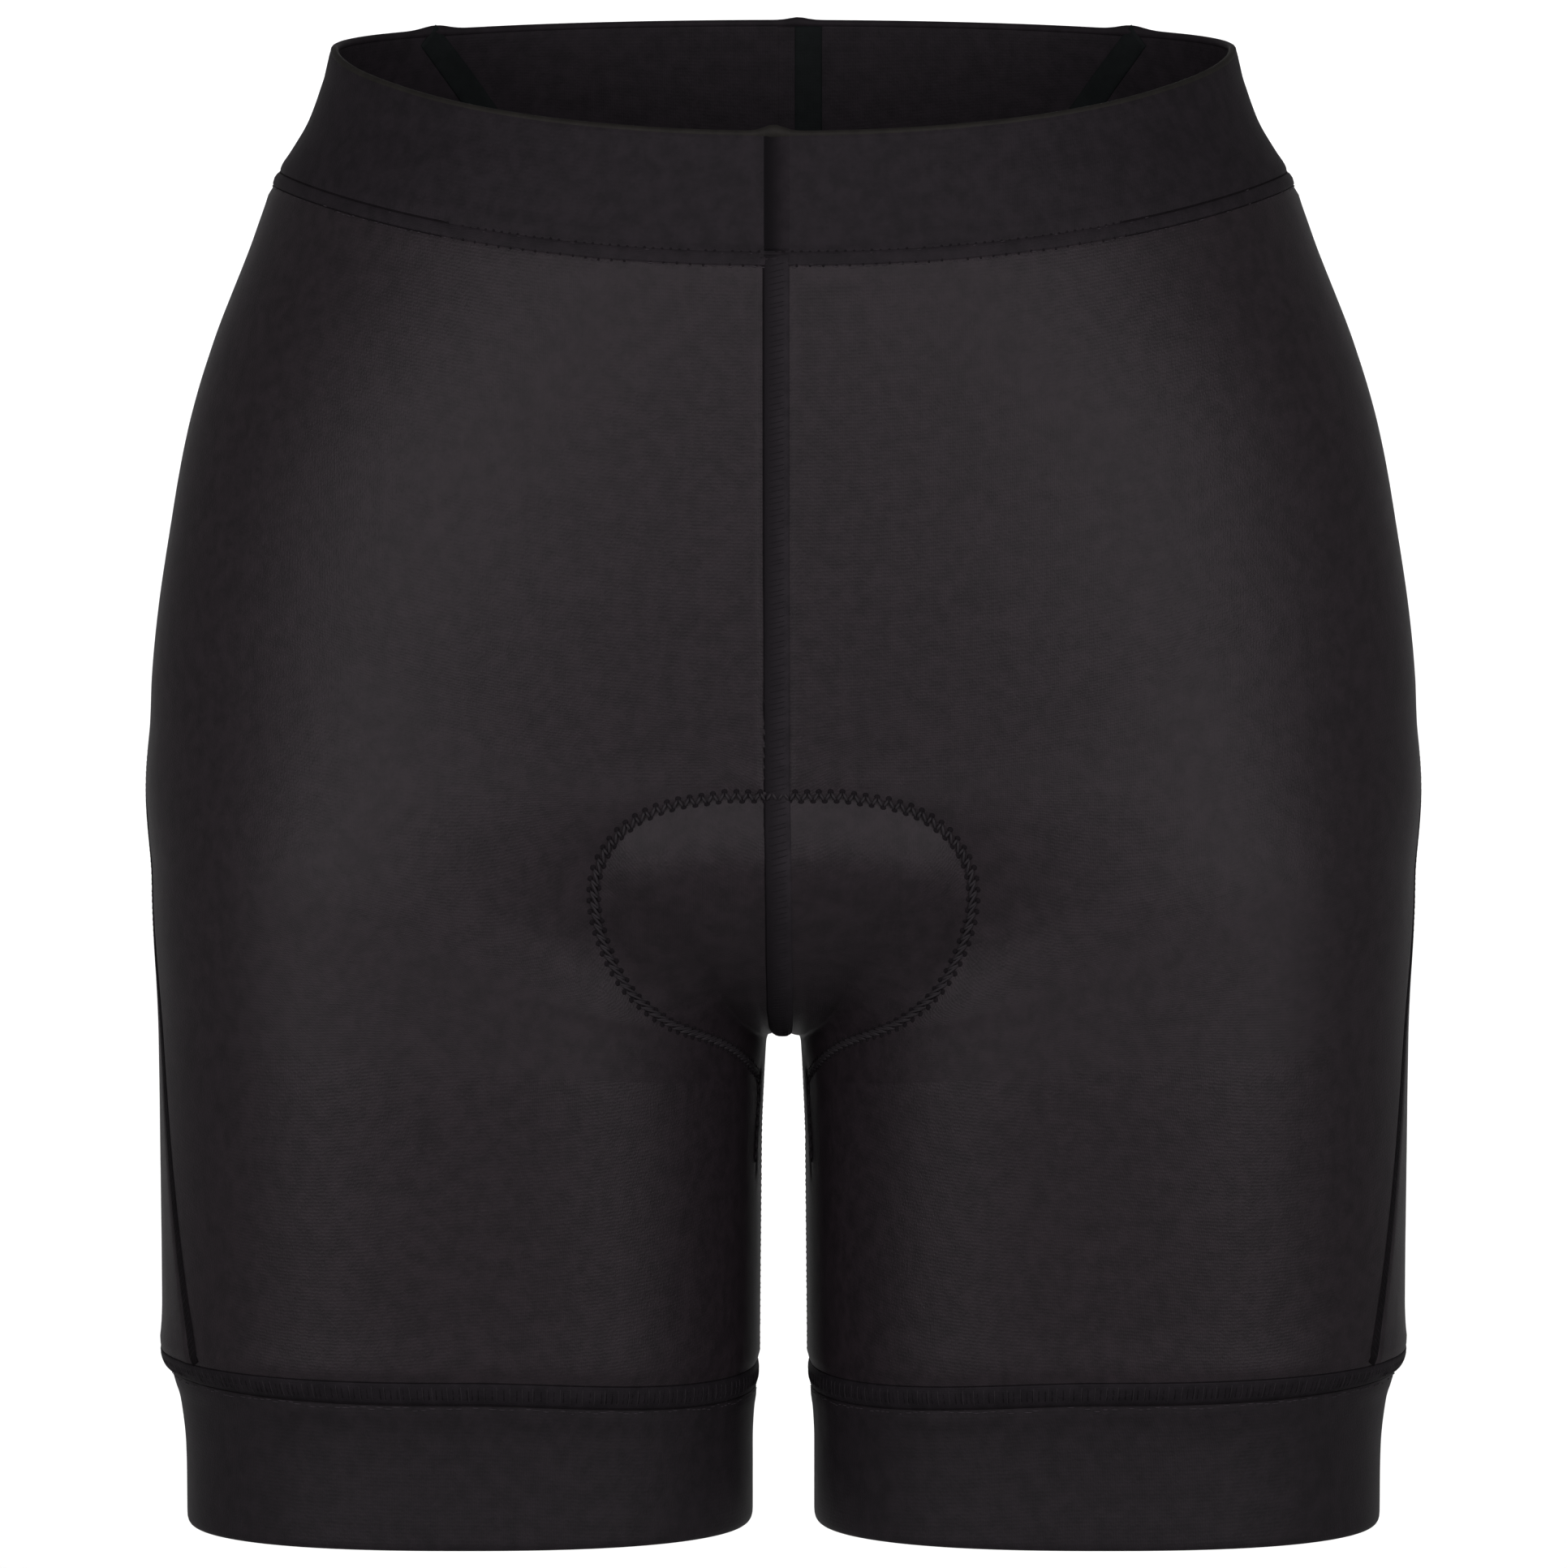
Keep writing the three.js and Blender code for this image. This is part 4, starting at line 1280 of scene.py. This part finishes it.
def rolled_edge(name, path, kind):
    """Cord-like roll over the top of the waistband."""
    normals = mirrored_normal(path)
    normals[:, 2] = 0
    normals = unit(normals)
    lump = np.zeros(len(path))
    for x, front, rise, width in zip(*EDGE_LUMPS.values()):
        lump += rise * hump(path[:, 0] - x, width) * ((path[:, 1] < 0) == (front > 0))
    turns = np.linspace(0, 2 * math.pi, EDGE_SIDES + 1)[:-1]
    depths = np.cos(turns) * (EDGE_HALF_DEPTH + 0.3 * lump[:, None])
    heights = np.sin(turns) * (EDGE_HALF_HEIGHT + 0.5 * lump[:, None])
    ring = (path - normals * BAND_WALL / 2)[:, None] + normals[:, None] * depths[..., None]
    ring[..., 2] += heights - (EDGE_HALF_HEIGHT - 0.1 - 0.5 * lump)[:, None]
    count = len(path) * EDGE_SIDES
    faces = grid_faces(len(path), EDGE_SIDES, 0, False, True).tolist()
    faces.append(list(range(EDGE_SIDES))[::-1])
    faces.append(list(range(count - EDGE_SIDES, count)))
    sewing.append((new_object(name, ring.reshape(-1, 3), faces), kind))


def sew_top_edge():
    path = whole_ring(waist_top, 300)[:-1]
    first_back = int(np.argmax(path[:, 1] > 0))
    last_back = len(path) - int(np.argmax(path[::-1, 1] > 0))
    rolled_edge("waistband_edge_back", path[first_back - 1 : last_back + 1], "band")
    # The front roll is dressed in a lighter knit: painted highlight along the roll's crest; the back roll
    # keeps the band's knit
    rolled_edge("waistband_edge_front", np.concatenate((path[last_back:], path[:first_back])), "edge")


sew_top_edge()

# Two rows of stitches round the padding, flatter towards the crotch
PAD_HOLE_PITCH = 3.2
PAD_THREAD_POINTS = 5
PAD_THREAD_ENDS = (0.12, 0.88)
PAD_THREAD_RADIUS = 0.42
PAD_THREAD_FADE = 55


def zigzag(outer_row, inner_row):
    """Short arched lines from hole to hole between two rows of places with their outward directions."""
    outer = list(zip(*outer_row))
    inner = list(zip(*inner_row))
    count = min(len(outer), len(inner))
    shares = np.linspace(*PAD_THREAD_ENDS, PAD_THREAD_POINTS)[:, None]
    arch = np.sin(np.linspace(0, math.pi, PAD_THREAD_POINTS))[:, None]
    lines = []
    for k in range(count):
        ends = [(outer[k], inner[k])]
        if k + 1 < count:
            ends.append((inner[k], outer[k + 1]))
        for (a, a_out), (b, b_out) in ends:
            rise = mix(0.35, 1, ease(np.linalg.norm(a - crotch_point) / PAD_THREAD_FADE))
            lines.append(mix(a, b, shares) + mix(a_out, b_out, shares) * rise * (0.05 + 0.32 * arch))
    return lines


def sew_pad(part):
    edge = dense(pad_edge(part), 0.5)
    normals = outward(edge)
    ahead = unit(np.gradient(edge, axis=0))
    inside = unit(np.cross(normals, ahead))
    middle = centre[part].at(PAD_TOP[part] * 0.6)
    inside = inside * np.sign(((middle - edge) * inside).sum(-1, keepdims=True))
    rows = {
        "outer": (edge, 0.0),
        "inner": (onto_cloth(edge + inside * PAD_STITCH_BAND), PAD_HOLE_PITCH / 2),
    }
    for hand_name, hand in HANDS.items():
        found = {}
        for row, (line, start) in rows.items():
            places, heading = along_line(handed(line, hand), PAD_HOLE_PITCH, start)
            laid, out = lay(places)
            found[row] = (laid, out)
            name = f"pad_holes_{part}_{hand_name}_{row}"
            sewing.append((pits(name, laid + out * 0.03, out, heading, 0.85, 0.75, 0.2), "hole"))
        lines = zigzag(found["outer"], found["inner"])
        sewing.append((thread(f"pad_stitches_{part}_{hand_name}", lines, PAD_THREAD_RADIUS), "pad_thread"))


for part in SIDES:
    sew_pad(part)


def padding_piece():
    """The seat pad under all four panels: their points moved in, joined at the seams."""
    last = ROWS_ABOVE_PAD + ROWS_OVER_PAD + PAD_ROWS_ON_INSEAM
    points = []
    faces = []
    known = {}

    def index(p):
        key = tuple(np.round(p, 3) + 0.0)
        if key not in known:
            known[key] = len(points)
            points.append(p)
        return known[key]

    rows = list(range(ROWS_ABOVE_PAD, last + 1, 3))
    columns = list(range(0, INNER_COLUMNS + 1, 3))
    for name, facing in (("front", 1), ("back", -1)):
        grid = grids[name]
        normal = outward(grid)
        depth = np.maximum(pad_depth(name), 0)
        depth[last - 6 : last + 1, : INNER_COLUMNS + 1] *= 0.6
        channel = 1.3 * hump(centre_distance(grid) - 15, 2.2) * ease((depth - 12) / 10)
        thick = PAD_RIM + PAD_LOFT * (1 - np.exp(-depth / PAD_LOFT_SLOPE)) - channel
        for hand in (1, -1):
            numbers = {}
            for i in rows:
                for j in columns:
                    for deep in (False, True):
                        inward = PANEL_WALL + WALL_GAP + (thick[i, j] if deep else 0)
                        p = grid[i, j] - normal[i, j] * inward
                        if j == 0:
                            if i <= ROWS_ABOVE_PAD + ROWS_OVER_PAD:
                                p[0] = 0
                            if i >= ROWS_ABOVE_PAD + ROWS_OVER_PAD:
                                p[1] = 0
                        numbers[i, j, deep] = index(handed(p, hand))
            flip = facing * hand > 0

            def add(*corners):
                faces.append(corners[::-1] if flip else corners)

            for a, b in zip(rows[:-1], rows[1:]):
                for c, d in zip(columns[:-1], columns[1:]):
                    for deep in (False, True):
                        corners = [numbers[i, j, deep] for i, j in ((a, c), (a, d), (b, d), (b, c))]
                        add(*(corners[::-1] if deep else corners))
                c = columns[-1]
                add(numbers[a, c, False], numbers[a, c, True], numbers[b, c, True], numbers[b, c, False])
            for c, d in zip(columns[:-1], columns[1:]):
                a, b = rows[0], rows[-1]
                add(numbers[a, c, False], numbers[a, c, True], numbers[a, d, True], numbers[a, d, False])
                add(numbers[b, d, False], numbers[b, d, True], numbers[b, c, True], numbers[b, c, False])
    return new_object("seat_pad_foam", points, faces)


foam = padding_piece()


# Materials, with the widths in metres over which one edge of a strip is painted darker: painted shade of the
# step or fold beside that edge
PAINTED_SHADE_WIDTH = 0.0008
PAINTED_SHADE_FADE_WIDTH = 0.0072


def add_node(nodes, kind, **values):
    """New shader node with values set on its inputs, whose names have low lines for their spaces."""
    node = nodes.new(kind)
    for name, value in values.items():
        node.inputs[name.replace("_", " ")].default_value = value
    return node


def colour_mix(nodes, first):
    node = nodes.new("ShaderNodeMix")
    node.data_type = "RGBA"
    node.inputs["A"].default_value = (*first, 1)
    return node


def knit_material(name, colour, darker, roughness, gloss, grain, edge=None):
    """Fine stretch knit: small loops in relief, uneven dye, and painted shade along one edge if asked."""
    material = bpy.data.materials.new(name)
    material.use_nodes = True
    nodes = material.node_tree.nodes
    links = material.node_tree.links
    shader = nodes["Principled BSDF"]
    shader.inputs["Roughness"].default_value = roughness
    shader.inputs["Specular IOR Level"].default_value = gloss
    place = nodes.new("ShaderNodeTexCoord")

    # Uneven dye
    mottle = add_node(nodes, "ShaderNodeTexNoise", Scale=210, Detail=6, Roughness=0.7)
    links.new(place.outputs["Object"], mottle.inputs["Vector"])
    dye = colour_mix(nodes, darker)
    dye.inputs["B"].default_value = (*colour, 1)
    spread = add_node(nodes, "ShaderNodeMapRange", From_Min=0.38, From_Max=0.62)
    links.new(mottle.outputs["Fac"], spread.inputs["Value"])
    links.new(spread.outputs["Result"], dye.inputs["Factor"])
    links.new(dye.outputs["Result"], shader.inputs["Base Color"])
    # Painted shade: one edge of the strip darker, fading out across it, as if shaded by the fold beside it
    if edge is not None:
        parts = nodes.new("ShaderNodeSeparateXYZ")
        links.new(place.outputs["UV"], parts.inputs["Vector"])
        fade = nodes.new("ShaderNodeMapRange")
        fade.interpolation_type = "SMOOTHSTEP"
        fade.inputs["From Min"].default_value = PAINTED_SHADE_WIDTH
        fade.inputs["From Max"].default_value = PAINTED_SHADE_FADE_WIDTH
        links.new(parts.outputs["X"], fade.inputs["Value"])
        shade = colour_mix(nodes, edge)
        links.new(fade.outputs["Result"], shade.inputs["Factor"])
        links.new(dye.outputs["Result"], shade.inputs["B"])
        links.new(shade.outputs["Result"], shader.inputs["Base Color"])

    # Loops of the knit and its fuzz, in relief
    scale = add_node(nodes, "ShaderNodeMapping", Scale=(1.0, 0.62, 1.0))
    links.new(place.outputs["UV"], scale.inputs["Vector"])
    loops = add_node(nodes, "ShaderNodeTexVoronoi", Scale=grain, Randomness=0.35)
    links.new(scale.outputs["Vector"], loops.inputs["Vector"])
    fuzz = add_node(nodes, "ShaderNodeTexNoise", Scale=1500, Detail=3)
    links.new(place.outputs["Object"], fuzz.inputs["Vector"])
    total = nodes.new("ShaderNodeMath")
    total.operation = "SUBTRACT"
    links.new(fuzz.outputs["Fac"], total.inputs[0])
    links.new(loops.outputs["Distance"], total.inputs[1])
    bump = add_node(nodes, "ShaderNodeBump", Strength=0.35, Distance=0.00025)
    links.new(total.outputs["Value"], bump.inputs["Height"])
    links.new(bump.outputs["Normal"], shader.inputs["Normal"])
    return material


# Each kind of cloth: name, colour, darker colour, roughness, gloss and how fine its loops are
KNITS = {
    "knit": ("black_knit", (0.0182, 0.0136, 0.0166), (0.0108, 0.0083, 0.0101), 0.53, 0.25, 1700),
    "band": ("band_knit", (0.0160, 0.0130, 0.0160), (0.0100, 0.0084, 0.0103), 0.66, 0.15, 1500),
    "cuff": ("cuff_knit", (0.0150, 0.0122, 0.0148), (0.0094, 0.0080, 0.0096), 0.62, 0.2, 1500),
    "pad": ("pad_knit", (0.0100, 0.0092, 0.0108), (0.0076, 0.0070, 0.0084), 0.8, 0.2, 900),
    "seam": ("seam_knit", (0.0140, 0.0118, 0.0144), (0.0088, 0.0076, 0.0092), 0.7, 0.12, 1900),
    # Dark seams, and the dark cords that are painted shadow lines along seam edges
    "dark_seam": ("dark_seam_and_shadow_line_knit", (0.0090, 0.0076, 0.0088), (0.0064, 0.0056, 0.0064), 0.8, 0.04, 1900),
    "strip": ("band_join_knit_edge_shade", (0.0215, 0.0185, 0.0215), (0.0160, 0.0140, 0.0162), 0.8, 0.04, 1900),
    "centre": ("centre_seam_knit_edge_shade", (0.0270, 0.0240, 0.0275), (0.0200, 0.0180, 0.0206), 0.75, 0.06, 1900),
    "lining": ("lining_strip", (0.0088, 0.0110, 0.0112), (0.0064, 0.0082, 0.0083), 0.8, 0.1, 1900),
    # Lighter knit for the front roll of the waistband: painted highlight where the roll catches the light
    "edge": ("edge_highlight_knit", (0.0185, 0.0172, 0.0148), (0.0130, 0.0122, 0.0106), 0.65, 0.15, 1900),
    "thread": ("sewing_thread", (0.0380, 0.0330, 0.0385), (0.0280, 0.0245, 0.0285), 0.6, 0.2, 2500),
    "pad_thread": ("pad_thread", (0.0225, 0.0198, 0.0226), (0.0170, 0.0150, 0.0171), 0.6, 0.2, 2500),
    # Dark, dull beads for needle holes: painted shade inside each hole
    "hole": ("needle_hole_shade", (0.0125, 0.0108, 0.0124), (0.0096, 0.0084, 0.0097), 0.9, 0.04, 2500),
}
# Painted shade along one edge of the band's join strip and of the centre seam, standing for the shadow of the
# fold beside it
PAINTED_SHADE_EDGES = {"strip": (0.0066, 0.0060, 0.0070), "centre": (0.0130, 0.0115, 0.0134)}
MATERIALS = {kind: knit_material(*values, edge=PAINTED_SHADE_EDGES.get(kind)) for kind, values in KNITS.items()}


def dress(piece, material):
    piece.data.materials.clear()
    piece.data.materials.append(MATERIALS[material])


# Knit of each cut piece, by the first word of its name; other pieces take the panels' knit
OWN_KNITS = {"waistband": "band", "cuff": "cuff"}

for name, piece in cloth.items():
    kind = OWN_KNITS.get(name.split("_")[0], "knit")
    dress(piece, kind)
    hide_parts(name)
dress(foam, "pad")
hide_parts("seat_pad")
for piece, kind in sewing:
    dress(piece, kind)


# Camera, at the height of the waist, looking slightly down
CAMERA_AWAY = 3.5
CAMERA_HEIGHT = 0.0
AIM_HEIGHT = -0.2063
FRAME_WIDTH = 0.4383
camera_data = bpy.data.cameras.new("camera")
camera = bpy.data.objects.new("camera", camera_data)
bpy.context.scene.collection.objects.link(camera)
camera.location = (0, -CAMERA_AWAY, CAMERA_HEIGHT)
aim = Vector((0, 0, AIM_HEIGHT)) - camera.location
camera.rotation_euler = aim.to_track_quat("-Z", "Y").to_euler()
camera_data.sensor_fit = "HORIZONTAL"
camera_data.sensor_width = 36
camera_data.lens = 36 * aim.length / FRAME_WIDTH
camera_data.clip_end = 50
bpy.context.scene.camera = camera


# Pale floor that curves up into a wall behind
FLOOR_Z = -2.0
FLOOR_FRONT = -7.0
WALL_Y = 5.6
WALL_TOP = 5.0
SWEEP_RADIUS = 1.6


def backdrop():
    sweep_y = WALL_Y - SWEEP_RADIUS
    profile = [(FLOOR_FRONT, FLOOR_Z), (sweep_y, FLOOR_Z)]
    for degrees in range(6, 91, 6):
        turn = math.radians(degrees)
        across = SWEEP_RADIUS * math.sin(turn)
        up = SWEEP_RADIUS * (1 - math.cos(turn))
        profile.append((sweep_y + across, FLOOR_Z + up))
    profile.append((WALL_Y, WALL_TOP))
    points = [(x, y, z) for y, z in profile for x in (-7.0, 7.0)]
    faces = [(2 * i, 2 * i + 1, 2 * i + 3, 2 * i + 2) for i in range(len(profile) - 1)]
    mesh = bpy.data.meshes.new("backdrop")
    mesh.from_pydata(points, [], faces)
    mesh.polygons.foreach_set("use_smooth", np.ones(len(mesh.polygons), bool))
    wall = bpy.data.objects.new("backdrop", mesh)
    bpy.context.scene.collection.objects.link(wall)
    material = bpy.data.materials.new("backdrop_paper")
    material.use_nodes = True
    shader = material.node_tree.nodes["Principled BSDF"]
    shader.inputs["Base Color"].default_value = (0.9, 0.9, 0.9, 1)
    shader.inputs["Roughness"].default_value = 0.9
    grain = material.node_tree.nodes.new("ShaderNodeTexNoise")
    grain.inputs["Scale"].default_value = 400
    bump = material.node_tree.nodes.new("ShaderNodeBump")
    bump.inputs["Strength"].default_value = 0.05
    material.node_tree.links.new(grain.outputs["Fac"], bump.inputs["Height"])
    material.node_tree.links.new(bump.outputs["Normal"], shader.inputs["Normal"])
    mesh.materials.append(material)


backdrop()

LIGHTS = table(
    "x y z power width height aim_y aim_z spread green blue",
    (-1.1, -1.1, -0.02, 7.6, 0.8, 0.6, 0, -0.15, 180, 0.945, 0.98),
    (1.1, -1.1, -0.02, 7.6, 0.8, 0.6, 0, -0.15, 180, 0.945, 0.98),
    (0, -2.7, 1.0, 22.5, 1.6, 0.8, 0, -0.2, 180, 0.945, 0.98),
    (0, 3.3, 1.8, 48, 2.1, 0.6, 5.6, -0.6, 105, 1, 1),
)
for number in range(len(LIGHTS["x"])):
    row = {column: float(values[number]) for column, values in LIGHTS.items()}
    data = bpy.data.lights.new(f"light_{number}", "AREA")
    data.shape = "RECTANGLE"
    data.size = row["width"]
    data.size_y = row["height"]
    data.energy = row["power"]
    data.color = (1, row["green"], row["blue"])
    data.spread = math.radians(row["spread"])
    light = bpy.data.objects.new(f"light_{number}", data)
    light.location = (row["x"], row["y"], row["z"])
    aim = Vector((0, row["aim_y"], row["aim_z"])) - light.location
    light.rotation_euler = aim.to_track_quat("-Z", "Y").to_euler()
    light.visible_camera = False
    bpy.context.scene.collection.objects.link(light)

world = bpy.data.worlds.new("studio")
world.use_nodes = True
world.node_tree.nodes["Background"].inputs["Color"].default_value = (1, 1, 1, 1)
world.node_tree.nodes["Background"].inputs["Strength"].default_value = 0.14
bpy.context.scene.world = world
bpy.context.scene.view_settings.view_transform = "Standard"
